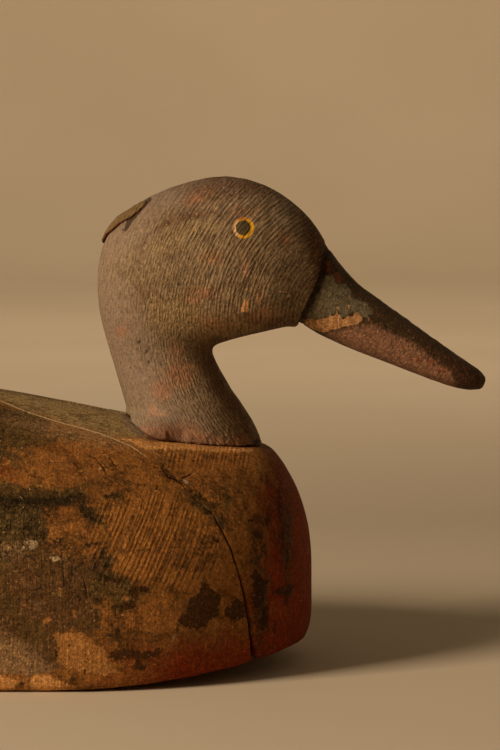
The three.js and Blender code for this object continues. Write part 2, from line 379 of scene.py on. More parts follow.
@dataclass
class Skin:
    """A mesh's points and outward directions, with the fields laid on it."""

    piece: bpy.types.Object

    def __post_init__(self) -> None:
        """Reads the mesh as it is now."""
        self.points = read(self.piece.data.vertices, "co", 3) / MM
        self.normals = read(self.piece.data.vertices, "normal", 3)

    def push(self, height: Array, along: Any = None) -> None:
        """Moves every point within the solids' own box.

        Args:
            height: How far each point goes, in millimetres.
            along: The direction or directions to go in, outwards if none are given.
        """
        low, high = np.array(CAD_BOX) / MM
        way = self.normals if along is None else np.asarray(along)
        moved = np.clip(self.points + way * height[:, None], low, high)
        self.piece.data.vertices.foreach_set("co", (moved * MM).astype(np.float32).ravel())
        self.piece.data.update()
        self.__post_init__()

    def store(self, layer: Layer, values: Array) -> None:
        """Keeps one number a point on the mesh for the material to read.

        Args:
            layer: The finish that it belongs to.
            values: One distance for each point, in millimetres.
        """
        attribute = self.piece.data.attributes.new(layer.value, "FLOAT", "POINT")
        limited = np.clip(values, -FIELD_LIMIT, FIELD_LIMIT)
        attribute.data.foreach_set("value", limited.astype(np.float32))

    def near(self) -> Array:
        """True on the side that the photograph shows."""
        return self.points[:, 1] < 0

    def seen(self) -> Array:
        """Where each point shows in the photograph, the far side mirrored."""
        mirrored = self.points * (1, -1, 1)
        return VIEW.seen(np.where(self.near()[:, None], self.points, mirrored))

    def fields(self, areas: tuple[Outline | Oval, ...]) -> dict[Layer, Array]:
        """Works out each layer's field from its outlines and ovals.

        Args:
            areas: The outlines and ovals of all layers.

        Returns:
            One field for each layer that they name.
        """
        seen = self.seen()
        near = self.near()
        result: dict[Layer, Array] = {}
        for area in areas:
            values = area.field(seen)
            if not area.both_sides:
                values = np.where(near, values, -FIELD_LIMIT)
            held = result.get(area.layer, np.full(len(values), -FIELD_LIMIT))
            result[area.layer] = np.maximum(held, values)
        return result


@dataclass
class Carving:
    """One carved piece: a fine skin over the solid that it stands for."""

    node: str
    name: str
    slot: str
    voxel: float
    easing: int
    fields: dict[Layer, Array] = field(default_factory=dict, init=False)

    def blank(self) -> bpy.types.Object:
        """Copies the solid, joins its loose faces and evens them out.

        Returns:
            The new object, with square faces of about the voxel size.
        """
        piece = bpy.data.objects.new(self.name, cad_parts[self.node].data.copy())
        bpy.context.scene.collection.objects.link(piece)
        piece.data.materials.clear()
        only(piece)
        bpy.ops.object.mode_set(mode="EDIT")
        bpy.ops.mesh.select_all(action="SELECT")
        bpy.ops.mesh.remove_doubles(threshold=0.01 * MM)
        bpy.ops.mesh.normals_make_consistent(inside=False)
        bpy.ops.object.mode_set(mode="OBJECT")
        apply(piece, "REMESH", mode="VOXEL", voxel_size=self.voxel * MM, use_smooth_shade=True)
        apply(piece, "SMOOTH", factor=0.5, iterations=self.easing)
        return piece

    def refine(self, piece: bpy.types.Object, chosen: Callable[[Array], Array], easing: int) -> None:
        """Splits faces in four where finer cuts are wanted.

        Args:
            piece: The object to refine.
            chosen: Says, for face centres in millimetres, which faces to split.
            easing: Rounds of smoothing for the new points.
        """
        mesh = piece.data
        picked = chosen(read(mesh.polygons, "center", 3) / MM)
        for items in (mesh.vertices, mesh.edges):
            items.foreach_set("select", np.zeros(len(items), bool))
        mesh.polygons.foreach_set("select", picked)
        only(piece)
        bpy.context.tool_settings.mesh_select_mode = (False, False, True)
        bpy.ops.object.mode_set(mode="EDIT")
        bpy.ops.mesh.subdivide(number_cuts=1)
        bpy.ops.mesh.vertices_smooth(factor=0.5, repeat=easing)
        bpy.ops.object.mode_set(mode="OBJECT")

    def finish(self, skin: Skin, material: bpy.types.Material) -> bpy.types.Object:
        """Gives the piece its fields, its material and its place in the frame.

        Args:
            skin: The piece's finished skin.
            material: What it is covered with.

        Returns:
            The finished object.
        """
        for layer, values in self.fields.items():
            skin.store(layer, values)
        piece = skin.piece
        only(piece)
        bpy.ops.object.shade_smooth()
        piece.data.materials.append(material)
        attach(piece, "root")
        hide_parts(self.node)
        sides = sum(len(face.vertices) - 2 for face in piece.data.polygons)
        LOG.info("%s: %d triangles", self.name, sides)
        return piece


# Materials


@dataclass(frozen=True)
class Coat:
    """A finish that lies in patches, with no colour of its own where the wood is only cut.

    Its edge wanders by ragged, is as soft as edge and has bays of one size, all in
    millimetres. Shift moves the edge's pattern, and most says how strong it is well inside.
    """

    layer: Layer
    colour: str | None
    ragged: float
    edge: float
    bays: float
    shift: float
    most: float = 1.0


def add(tree: bpy.types.NodeTree, kind: str, settings: dict[str, Any], inputs: dict[Any, Any]) -> Any:
    """Adds one shader node with its settings and links.

    Args:
        tree: The material's node tree.
        kind: The node's type, without its ShaderNode prefix.
        settings: Properties of the node.
        inputs: For each input, by name or number, a value or the socket that feeds it.

    Returns:
        The node.
    """
    node = tree.nodes.new("ShaderNode" + kind)
    for name, value in settings.items():
        setattr(node, name, value)
    for name, value in inputs.items():
        if isinstance(value, bpy.types.NodeSocket):
            tree.links.new(value, node.inputs[name])
        else:
            node.inputs[name].default_value = value
    return node


class Paintwork:
    """The parts that every painted wood finish here shares."""

    def __init__(self, name: str) -> None:
        """Starts a material with object coordinates in millimetres.

        Args:
            name: The material's name.
        """
        self.material = bpy.data.materials.new(name)
        self.material.use_nodes = True
        self.tree = self.material.node_tree
        self.tree.nodes.clear()
        place = add(self.tree, "TexCoord", {}, {})
        scale = (1 / MM, 1 / MM, 1 / MM)
        grown = add(self.tree, "Mapping", {}, {"Vector": place.outputs["Object"], "Scale": scale})
        self.place = grown.outputs["Vector"]

    def number(self, operation: str, *values: Any) -> Any:
        """One operation on numbers or their sockets."""
        return add(self.tree, "Math", {"operation": operation}, dict(enumerate(values))).outputs[0]

    def vector(self, operation: str, *values: Any) -> Any:
        """One operation on vectors, with a number as its result for a length or a product."""
        node = add(self.tree, "VectorMath", {"operation": operation}, dict(enumerate(values)))
        return node.outputs["Value" if operation in ("LENGTH", "DOT_PRODUCT") else "Vector"]

    def parts(self, vector: Any) -> Any:
        """The three numbers of a vector."""
        return add(self.tree, "SeparateXYZ", {}, {0: vector}).outputs

    def joined(self, *numbers: Any) -> Any:
        """The vector of three numbers."""
        return add(self.tree, "CombineXYZ", {}, dict(enumerate(numbers))).outputs[0]

    def grain(self, size: float, detail: float, rough: float, shift: float, place: Any = None) -> Any:
        """Noise about zero with shapes of a real size, mostly from -1 to 1.

        Args:
            size: Size of the largest shapes, in millimetres.
            detail: How many finer noises are added.
            rough: How strong the finer ones are.
            shift: Moves the pattern, so that two of one size differ.
            place: Coordinates to use instead of the object's.

        Returns:
            The socket that carries the noise.
        """
        moved = self.vector("ADD", place or self.place, (shift, shift * 0.7, -shift))
        inputs = {"Vector": moved, "Scale": 1 / size, "Detail": detail, "Roughness": rough}
        return self.sum((add(self.tree, "TexNoise", {}, inputs).outputs["Fac"], 4.0), base=-2.0)

    def sum(self, *terms: tuple[Any, Any], base: float = 0.0) -> Any:
        """Adds sockets, each times its own weight, which may be a socket too.

        Args:
            terms: Pairs of a socket and its weight.
            base: A number to start from.

        Returns:
            The socket with the sum.
        """
        total: Any = base
        for socket, weight in terms:
            total = self.number("MULTIPLY_ADD", socket, weight, total)
        return total

    def step(self, value: Any, low: float, high: float, most: float = 1.0) -> Any:
        """Smooth step of a socket: 0 at low, most at high."""
        inputs = {"Value": value, "From Min": low, "From Max": high, "To Min": 0.0, "To Max": most}
        return add(self.tree, "MapRange", {"interpolation_type": "SMOOTHSTEP"}, inputs).outputs["Result"]

    def field(self, layer: Layer) -> Any:
        """The field of one layer, in millimetres."""
        return add(self.tree, "Attribute", {"attribute_name": layer.value}, {}).outputs["Fac"]

    def share(self, coat: Coat) -> Any:
        """Where one coat lies, with an uneven edge.

        Args:
            coat: The coat.

        Returns:
            A socket, 0 outside.
        """
        wander = self.grain(coat.bays, 6.0, 0.74, coat.shift)
        value = self.sum((self.field(coat.layer), 1.0), (wander, coat.ragged))
        return self.step(value, -coat.edge, coat.edge, coat.most)

    def over(self, below: Any, share: Any, colour: Any) -> Any:
        """Lays a colour, a hex or a socket, over what is below.

        Args:
            below: The colour so far.
            share: Where the new one covers it.
            colour: The new one.

        Returns:
            The socket with the colour.
        """
        top = linear(colour) if isinstance(colour, str) else colour
        under = linear(below) if isinstance(below, str) else below
        mix = add(self.tree, "Mix", {"data_type": "RGBA"}, {"Factor": share, 6: under, 7: top})
        return mix.outputs[2]

    def lay(self, below: Any, *coats: Coat) -> Any:
        """Lays coats of their own colours over what is below.

        Args:
            below: The colour so far.
            coats: The coats, the lowest first.

        Returns:
            The socket with the colour.
        """
        for coat in coats:
            below = self.over(below, self.share(coat), coat.colour)
        return below

    def shade(self, below: Any, amount: Any) -> Any:
        """Brightens or darkens a colour by a factor from a socket."""
        scaled = add(self.tree, "VectorMath", {"operation": "SCALE"}, {0: below, "Scale": amount})
        return scaled.outputs[0]

    def around(self, centre: tuple[float, float]) -> tuple[Any, Any]:
        """Measures from an axis that runs across the decoy.

        Args:
            centre: The axis, in x and z.

        Returns:
            The three numbers of the way from it, and the distance.
        """
        away = self.parts(self.vector("SUBTRACT", self.place, (centre[0], 0.0, centre[1])))
        return away, self.vector("LENGTH", self.joined(away[0], 0.0, away[2]))

    def strokes(self, centre: tuple[float, float], across: float, along: float, shift: float,
                even: float) -> Any:
        """Noise drawn out along circles round a far point, as a rasp leaves it.

        Args:
            centre: The circles' centre, in x and z.
            across: Spacing of the strokes, in millimetres.
            along: Their length, in millimetres.
            shift: Moves the pattern.
            even: How evenly they are spaced.

        Returns:
            The socket that carries the strokes, from -1 in a groove to 1 on a ridge.
        """
        away, far = self.around(centre)
        angle = self.number("ARCTAN2", away[2], away[0])
        ring = self.sum((far, 1 / across), (self.grain(9.0, 2.0, 0.5, shift), 0.2 / across))
        place = self.joined(ring, self.sum((angle, STROKE_ARC / along)), self.sum((away[1], 1 / along)))
        torn = self.grain(1.0, 2.0, 0.5, shift, place)
        wave = self.number("SINE", self.sum((ring, 2 * math.pi / NOISE_WAVE)))
        ridges = self.sum((wave, even), (torn, 1.1))
        return self.sum((self.step(ridges, -0.75, 0.75, 2.0), 1.0), base=-1.0)

    def crackle(self, size: float, shift: float) -> Any:
        """Fine cracks between upright flakes of old paint.

        Args:
            size: Size of the flakes, in millimetres.
            shift: Moves the pattern.

        Returns:
            A socket, 1 in a crack and 0 on a flake.
        """
        wander = self.grain(size, 3.0, 0.6, shift)
        bent = self.joined(wander, wander, self.grain(size, 2.0, 0.6, shift + 7))
        moved = self.vector("MULTIPLY_ADD", bent, (size, size, size), self.place)
        tall = add(self.tree, "Mapping", {}, {"Vector": moved, "Scale": (1.0, 1.0, 0.6)})
        inputs = {"Vector": tall.outputs[0], "Scale": 1 / size}
        gap = add(self.tree, "TexVoronoi", {"feature": "DISTANCE_TO_EDGE"}, inputs).outputs["Distance"]
        return self.step(self.sum((gap, 1.0), (wander, 0.08)), 0.15, 0.02)

    def finish(self, colour: Any, roughness: Any, height: Any, specular: float) -> bpy.types.Material:
        """Closes the material.

        Args:
            colour: Socket with the base colour.
            roughness: Socket or value.
            height: Socket with the fine relief, in millimetres.
            specular: Specular level of the old paint.

        Returns:
            The material.
        """
        bump = add(self.tree, "Bump", {}, {"Height": height, "Distance": MM, "Strength": 1.0})
        inputs = {"Base Color": colour, "Roughness": roughness, "Normal": bump.outputs["Normal"],
                  "Specular IOR Level": specular}
        shader = add(self.tree, "BsdfPrincipled", {}, inputs)
        add(self.tree, "OutputMaterial", {}, {"Surface": shader.outputs["BSDF"]})
        return self.material


@dataclass(frozen=True)
class BodyPaint:
    """Oil paint brushed on pine, in three coats, rubbed and flaked back over many seasons.

    To the eye: dull ochre with rasp marks in it, black-brown where the old coat shows and tan
    where the wood is bare.
    """

    ochre: str = "#99642E"
    umber: str = "#4E3013"
    ash: str = "#86694A"
    # Pale specks: painted highlights on tiny bumps of the paint
    speck_highlights: str = "#D6AC78"
    # The scratch's pale line: partly pale wood, partly a painted highlight on its lit edge
    scratch: str = "#F0D0A4"
    crack: str = "#2A0805"
    orange: Coat = Coat(Layer.ORANGE, "#A36934", 3.5, 3.0, 5.0, 5.0, 0.6)
    red: Coat = Coat(Layer.RED, "#7E2A06", 6.0, 7.0, 13.0, 7.0, 0.93)
    rust: Coat = Coat(Layer.RUST, "#8C481E", 2.6, 1.4, 3.0, 8.0, 0.36)
    film: Coat = Coat(Layer.FILM, "#5C4126", 4.5, 1.2, 3.0, 13.0, 0.85)
    olive: Coat = Coat(Layer.OLIVE, "#5C4A26", 3.0, 1.4, 3.0, 17.0, 0.8)
    back: Coat = Coat(Layer.SMOOTH, "#A68E62", 2.0, 1.6, 3.0, 18.0, 0.9)
    tan: Coat = Coat(Layer.TAN, "#A8845C", 3.5, 4.0, 2.2, 19.0, 0.78)
    bare: Coat = Coat(Layer.BARE, "#A8743E", 1.8, 0.15, 2.6, 31.0)
    pits: Coat = Coat(Layer.PIT, "#2A2010", 6.0, 0.7, 2.6, 39.0, 0.5)
    soot: Coat = Coat(Layer.SOOT, "#2A2010", 2.2, 0.3, 1.6, 43.0, 0.8)
    dark: Coat = Coat(Layer.DARK, "#4E2E0F", 1.5, 0.1, 1.9, 29.0, 0.93)
    # Bright tan on the worn rim, and a painted highlight along the seam under the neck
    ledge: Coat = Coat(Layer.PINK, "#DCA060", 1.0, 0.5, 1.4, 40.0, 0.8)
    chip: Coat = Coat(Layer.CHIP, "#C4AB86", 0.8, 0.2, 1.2, 37.0, 0.85)
    putty: Coat = Coat(Layer.PUTTY, "#88745E", 1.5, 1.2, 3.0, 38.0, 0.9)
    # The neck's pink, made lighter as painted light against the shade in the corner at the neck's foot
    neck: Coat = Coat(Layer.NECK, "#C89272", 0.6, 0.5, 1.0, 46.0)
    rasped: Coat = Coat(Layer.RASP, None, 3.0, 4.0, 12.0, 53.0)

    def ground(self, work: Paintwork, mottle: Any, flake: Any) -> Any:
        """The last coat of ochre, red-brown at the breast and the lower edge, worn through.

        Args:
            work: The material being made.
            mottle: Noise of the larger worn spots.
            flake: Noise of the smaller ones.

        Returns:
            The socket with the colour.
        """
        tone = work.grain(34.0, 3.0, 0.55, 3.0)
        colour = work.over(self.ochre, work.step(tone, 0.0, 0.6, 0.45), self.umber)
        colour = work.lay(colour, self.orange)
        colour = work.over(colour, work.step(mottle, -0.05, 0.3, 0.6), self.umber)
        colour = work.over(colour, work.step(flake, 0.05, 0.4, 0.55), self.olive.colour)
        colour = work.lay(colour, self.red)
        colour = work.over(colour, work.step(mottle, 0.25, 0.5, 0.4), self.dark.colour)
        return work.lay(colour, self.rust)

    def coats(self, work: Paintwork, mottle: Any, flake: Any) -> tuple[Any, Any, Any, Any]:
        """The older coats that cover the ground here and there, and the bare wood.

        Args:
            work: The material being made.
            mottle: Noise of the larger worn spots.
            flake: Noise of the smaller ones.

        Returns:
            The sockets with the colour, and with how thick the grey coats are, where the wood
            is bare and where the dark coat lies.
        """
        coats = (self.film, self.olive, self.bare, self.dark)
        film, olive, bare, dark = (work.share(coat) for coat in coats)
        greys = work.over(self.film.colour, work.step(mottle, 0.0, 0.3, 0.75), self.umber)
        greys = work.over(greys, work.step(flake, -0.1, -0.4, 0.85), self.ash)
        tinge = work.grain(13.0, 5.0, 0.75, 48.0)
        greys = work.over(greys, work.step(tinge, 0.0, 0.35, 0.6), self.olive.colour)
        greys = work.over(greys, work.step(tinge, -0.15, -0.5, 0.45), self.ash)
        colour = work.over(self.ground(work, mottle, flake), film, greys)
        greens = work.over(self.olive.colour, work.step(flake, -0.1, -0.5, 0.5), self.ash)
        colour = work.over(colour, olive, greens)
        tans = work.over(self.back.colour, work.step(mottle, 0.0, 0.4, 0.7), self.olive.colour)
        tans = work.over(tans, work.step(flake, 0.1, 0.5, 0.5), self.olive.colour)
        colour = work.over(colour, work.share(self.back), tans)
        colour = work.lay(colour, self.tan)
        colour = work.over(colour, bare, self.bare.colour)
        grey = work.sum((film, 1.0), (olive, 1.4))
        grime = work.sum((work.grain(3.0, 7.0, 0.82, 33.0), 1.0), (grey, 0.14), (bare, -0.1))
        colour = work.over(colour, work.step(grime, 0.5, 0.62, 0.8), self.soot.colour)
        colour = work.lay(colour, self.pits, self.soot)
        blacks = work.over(self.dark.colour, work.step(flake, -0.2, 0.4, 0.8), self.soot.colour)
        return work.over(colour, dark, blacks), grey, bare, dark

    def lines(self, work: Paintwork, speck: Any) -> tuple[Any, Any]:
        """The scratch along the back, pale partly as a painted highlight on its lit edge, and the dark of
        the drying check.

        Args:
            work: The material being made.
            speck: The finest noise.
        """
        gap = work.number("ABSOLUTE", work.field(Layer.SCRATCH))
        scratch = work.step(work.sum((gap, 1.0), (speck, 0.1)), 0.22, 0.04)
        scratch = work.sum((scratch, work.step(work.parts(work.place)[0], 80.0, 72.0)))
        return scratch, work.step(work.field(Layer.CRACK), -0.12, 0.08)

    def material(self) -> bpy.types.Material:
        """Builds the body's paint.

        Returns:
            The material.
        """
        work = Paintwork("worn_oil_paint_on_pine")
        mottle = work.grain(6.0, 8.0, 0.8, 11.0)
        flake = work.grain(1.8, 5.0, 0.8, 14.0)
        speck = work.grain(0.85, 2.0, 0.6, 23.0)
        strokes = work.strokes(BODY_RASP_CENTRE, 1.0, 12.0, 41.0, 0.4)
        fibres = work.strokes(GRAIN_CENTRE, 0.7, 2.4, 44.0, 0.1)
        colour, grey, bare, dark = self.coats(work, mottle, flake)
        # Pale specks: painted highlights on tiny bumps of the paint
        speck_highlights = work.step(work.sum((work.grain(1.3, 3.0, 0.7, 36.0), 1.0), (grey, 0.05)), 0.66, 0.76, 0.6)
        colour = work.over(colour, speck_highlights, self.speck_highlights)
        colour = work.lay(colour, self.ledge, self.chip, self.putty, self.neck)
        cut = work.sum((strokes, work.share(self.rasped)))
        flaked = work.step(work.grain(1.3, 4.0, 0.75, 51.0), -0.06, 0.1)
        fine = work.sum((bare, 0.05), (grey, 0.06), base=0.08)
        cracked = work.sum((work.crackle(2.1, 57.0), work.sum((grey, 0.28))))
        # Painted light and shade: rasp ridges and wood fibres lighter, their grooves darker; the finer
        # noises vary the tone and the cracks between flakes go dark
        light = work.sum((cut, 0.31), (speck, 0.33), (flake, 0.48), (flaked, 0.44), (fibres, fine),
                         (cracked, -1.0), base=0.94)
        scratch, crack = self.lines(work, speck)
        colour = work.over(work.shade(colour, light), scratch, self.scratch)
        colour = work.over(colour, crack, self.crack)
        height = work.sum((cut, 0.24), (fibres, work.sum((fine, 0.5))), (speck, 0.1), (flake, 0.12),
                          (flaked, 0.24), (dark, 0.25), (bare, -0.25), (grey, 0.12), (scratch, -0.12),
                          (mottle, 0.2), (cracked, -0.9))
        return work.finish(colour, work.sum((mottle, 0.08), base=0.66), height, 0.1)


@dataclass(frozen=True)
class HeadPaint:
    """Flat oil paint over rasped pine, rubbed by handling at the back of the head.

    To the eye: dull taupe with close rasp strokes, a slate and dark brown bill, a painted
    eye ring and a grey smear of putty behind the neck.
    """

    taupe: str = "#877256"
    brown: str = "#5A432B"
    bill_red: str = "#52240F"
    pupil: str = "#55482F"
    iris: str = "#D9A021"
    cream: str = "#D9B083"
    # Painted shade in dark red-brown: under the jaw, down the throat, on the crown's top and above the brow
    shadow: Coat = Coat(Layer.RED, "#522C0B", 3.0, 5.0, 6.0, 15.0, 0.84)
    # Lighter olive; along the brow ridge it is also a painted highlight
    olive: Coat = Coat(Layer.OLIVE, "#A0865C", 2.4, 3.0, 5.0, 4.0, 0.5)
    smooth: Coat = Coat(Layer.SMOOTH, "#8A7868", 5.0, 7.0, 14.0, 6.0, 0.8)
    pink: Coat = Coat(Layer.PINK, "#A8663F", 2.6, 2.2, 1.3, 14.0, 0.38)
    bill: Coat = Coat(Layer.BILL, "#4A361B", 0.1, 0.2, 4.0, 18.0)
    bill_pink: Coat = Coat(Layer.ORANGE, "#9A6F54", 2.4, 1.6, 2.2, 16.0, 0.9)
    slate: Coat = Coat(Layer.SLATE, "#7A6E55", 1.4, 0.6, 1.6, 19.0)
    rust: Coat = Coat(Layer.RUST, "#85441E", 1.2, 0.6, 1.2, 21.0, 0.75)
    putty: Coat = Coat(Layer.PUTTY, "#86755F", 0.8, 1.2, 3.0, 24.0, 0.92)
    peach: Coat = Coat(Layer.FILM, "#C98F6C", 1.6, 0.8, 1.0, 30.0, 0.34)
    bare: Coat = Coat(Layer.BARE, "#D09A66", 0.5, 0.12, 1.6, 26.0)
    chip: Coat = Coat(Layer.CHIP, "#C9A27C", 0.6, 0.15, 1.0, 27.0, 0.9)
    # Dark brown for pits, for painted shadow along the cheek's edge and under the crown patch's edge, and
    # for painted shade in gaps at the neck's foot
    pit_and_shadow: Coat = Coat(Layer.PIT, "#2A1A0E", 0.8, 0.3, 1.0, 28.0, 0.82)
    rasped: Coat = Coat(Layer.RASP, None, 3.0, 4.0, 8.0, 52.0)

    def eye(self, work: Paintwork, colour: Any) -> Any:
        """Paints the ring and the pupil.

        Args:
            work: The material being made.
            colour: The colour so far.

        Returns:
            The colour with the eye.
        """
        away, far = work.around(EYE_CENTRE)
        wander = work.grain(1.8, 3.0, 0.6, 61.0)
        radius = work.sum((far, 1.0), (wander, 0.28))
        ring = work.step(radius, EYE_RADIUS + 0.2, EYE_RADIUS - 0.1)
        pupil = work.step(radius, PUPIL_RADIUS + 0.2, PUPIL_RADIUS - 0.15)
        # Paler cream on the ring's left, the side towards the lamp: partly worn paint, partly a painted
        # highlight on the ring's lit edge
        pale = work.step(work.sum((away[0], 1.0), (wander, 0.5)), -1.0, -2.4)
        iris = work.over(self.iris, pale, self.cream)
        worn = work.step(work.sum((away[2], 1.0), (wander, 1.2)), 2.6, 3.6, 0.7)
        iris = work.over(iris, worn, self.pink.colour)
        return work.over(work.over(colour, ring, iris), pupil, self.pupil)

    def horn(self, work: Paintwork, flake: Any) -> Any:
        """The bill's paint: dark brown, redder to the tip, with slate, pink and rust rubbed in.

        Args:
            work: The material being made.
            flake: Noise of the smaller worn spots.

        Returns:
            The socket with the colour.
        """
        tip = work.step(work.parts(work.place)[0], 172.0, 196.0, 0.4)
        reddish = work.sum((work.step(flake, 0.0, 0.5, 0.35), 1.0), (tip, 1.0))
        horn = work.over(self.bill.colour, reddish, self.bill_red)
        return work.lay(horn, self.bill_pink, self.slate, self.rust)

    def material(self) -> bpy.types.Material:
        """Builds the head's paint.

        Returns:
            The material.
        """
        work = Paintwork("flat_oil_paint_on_rasped_pine")
        tone = work.grain(26.0, 3.0, 0.55, 2.0)
        mottle = work.grain(4.5, 7.0, 0.8, 12.0)
        flake = work.grain(1.5, 4.0, 0.75, 16.0)
        speck = work.grain(0.85, 2.0, 0.6, 22.0)
        close = work.strokes(HEAD_RASP_CENTRE, 0.66, 2.6, 42.0, 0.25)
        strokes = work.strokes(HEAD_RASP_CENTRE, 0.9, 9.0, 46.0, 0.42)
        coats = (self.rasped, self.smooth, self.bill, self.putty, self.bare)
        rasped, smooth, bill, putty, bare = (work.share(coat) for coat in coats)
        colour = work.over(self.taupe, work.step(tone, -0.1, 0.8, 0.5), self.brown)
        colour = work.over(colour, work.step(mottle, -0.2, 0.5, 0.4), self.brown)
        colour = work.lay(colour, self.shadow, self.olive)
        colour = work.over(colour, smooth, self.smooth.colour)
        colour = work.lay(colour, self.pink)
        colour = work.over(colour, bill, self.horn(work, flake))
        colour = work.over(colour, putty, self.putty.colour)
        colour = work.lay(colour, self.peach)
        colour = work.over(colour, bare, self.bare.colour)
        flecks = work.sum((work.grain(1.3, 5.0, 0.8, 32.0), 1.0), (smooth, 0.03), (putty, -0.15))
        colour = work.over(colour, work.step(flecks, 0.38, 0.55, 0.6), self.pit_and_shadow.colour)
        # Pale specks, more on rasped wood: painted highlights on tiny bumps
        speck_highlights = work.sum((work.grain(1.1, 3.0, 0.8, 34.0), 1.0), (rasped, 0.05), (smooth, -0.05))
        colour = work.over(colour, work.step(speck_highlights, 0.52, 0.68, 0.55), self.chip.colour)
        plain = work.sum((smooth, -0.7), (bill, -0.5), (rasped, -0.3), base=0.95)
        cut = work.sum((strokes, work.sum((rasped, 0.95), (smooth, -0.1), base=0.2)), (close, plain))
        # Painted light and shade: rasp ridges lighter, their grooves darker; the finer noises vary the tone
        light = work.sum((cut, 0.3), (speck, work.sum((smooth, -0.13), base=0.28)),
                         (flake, work.sum((smooth, -0.18), base=0.36)), base=1.02)
        colour = self.eye(work, work.lay(work.shade(colour, light), self.chip, self.pit_and_shadow))
        # Painted light and shade on the bill's crinkled paint, from the same noise that raises its relief
        crinkled = work.sum((bill, work.grain(1.5, 4.0, 0.75, 35.0)))
        colour = work.shade(colour, work.sum((crinkled, 0.7), base=1.0))
        height = work.sum((cut, 0.15), (speck, 0.05), (flake, 0.06), (mottle, 0.1), (bare, -0.2),
                          (crinkled, 0.5))
        roughness = work.sum((mottle, 0.06), (bill, -0.12), base=0.7)
        return work.finish(colour, roughness, height, 0.2)


@dataclass(frozen=True)
class PatchPaint:
    """The head's flat paint on a thin patch, with its raw edge showing red-brown and darker as painted
    shade.
    """

    face: str = "#77603F"
    edge: str = "#5E3420"

    def material(self) -> bpy.types.Material:
        """Builds the patch's paint.

        Returns:
            The material.
        """
        work = Paintwork("flat_oil_paint_on_patch")
        mottle = work.grain(4.0, 5.0, 0.6, 9.0)
        speck = work.grain(1.0, 4.0, 0.7, 19.0)
        strokes = work.strokes(HEAD_RASP_CENTRE, 0.8, 4.0, 29.0, 0.3)
        normal = add(work.tree, "NewGeometry", {}, {}).outputs["Normal"]
        facing = work.vector("DOT_PRODUCT", normal, PATCH_OUTWARD)
        # The patch's sides: its raw red-brown edge, darker as painted shade
        side = work.step(work.sum((facing, 1.0), (mottle, 0.08)), 0.45, 0.2)
        colour = work.over(self.face, work.step(mottle, 0.0, 0.8, 0.5), HeadPaint.brown)
        colour = work.over(colour, side, self.edge)
        colour = work.shade(colour, work.sum((speck, 0.3), (strokes, 0.15), base=1.0))
        height = work.sum((speck, 0.1), (mottle, 0.1), (strokes, 0.12))
        return work.finish(colour, 0.7, height, 0.2)


@dataclass(frozen=True)
class FloorPaper:
    """Matt paper rolled out as a floor: plain, pale and slightly warm."""

    colour: str = "#D9CDBA"
    shade: str = "#C9BCA6"

    def material(self) -> bpy.types.Material:
        """Builds the paper.

        Returns:
            The material.
        """
        work = Paintwork("matt_backdrop_paper")
        fibre = work.grain(1.5, 3.0, 0.6, 1.0)
        tone = work.grain(400.0, 2.0, 0.5, 5.0)
        colour = work.over(self.colour, work.step(tone, -0.8, 0.8, 0.3), self.shade)
        return work.finish(colour, 0.85, work.sum((fibre, 0.005)), 0.2)


# Where each finish shows, in the photograph's pixels

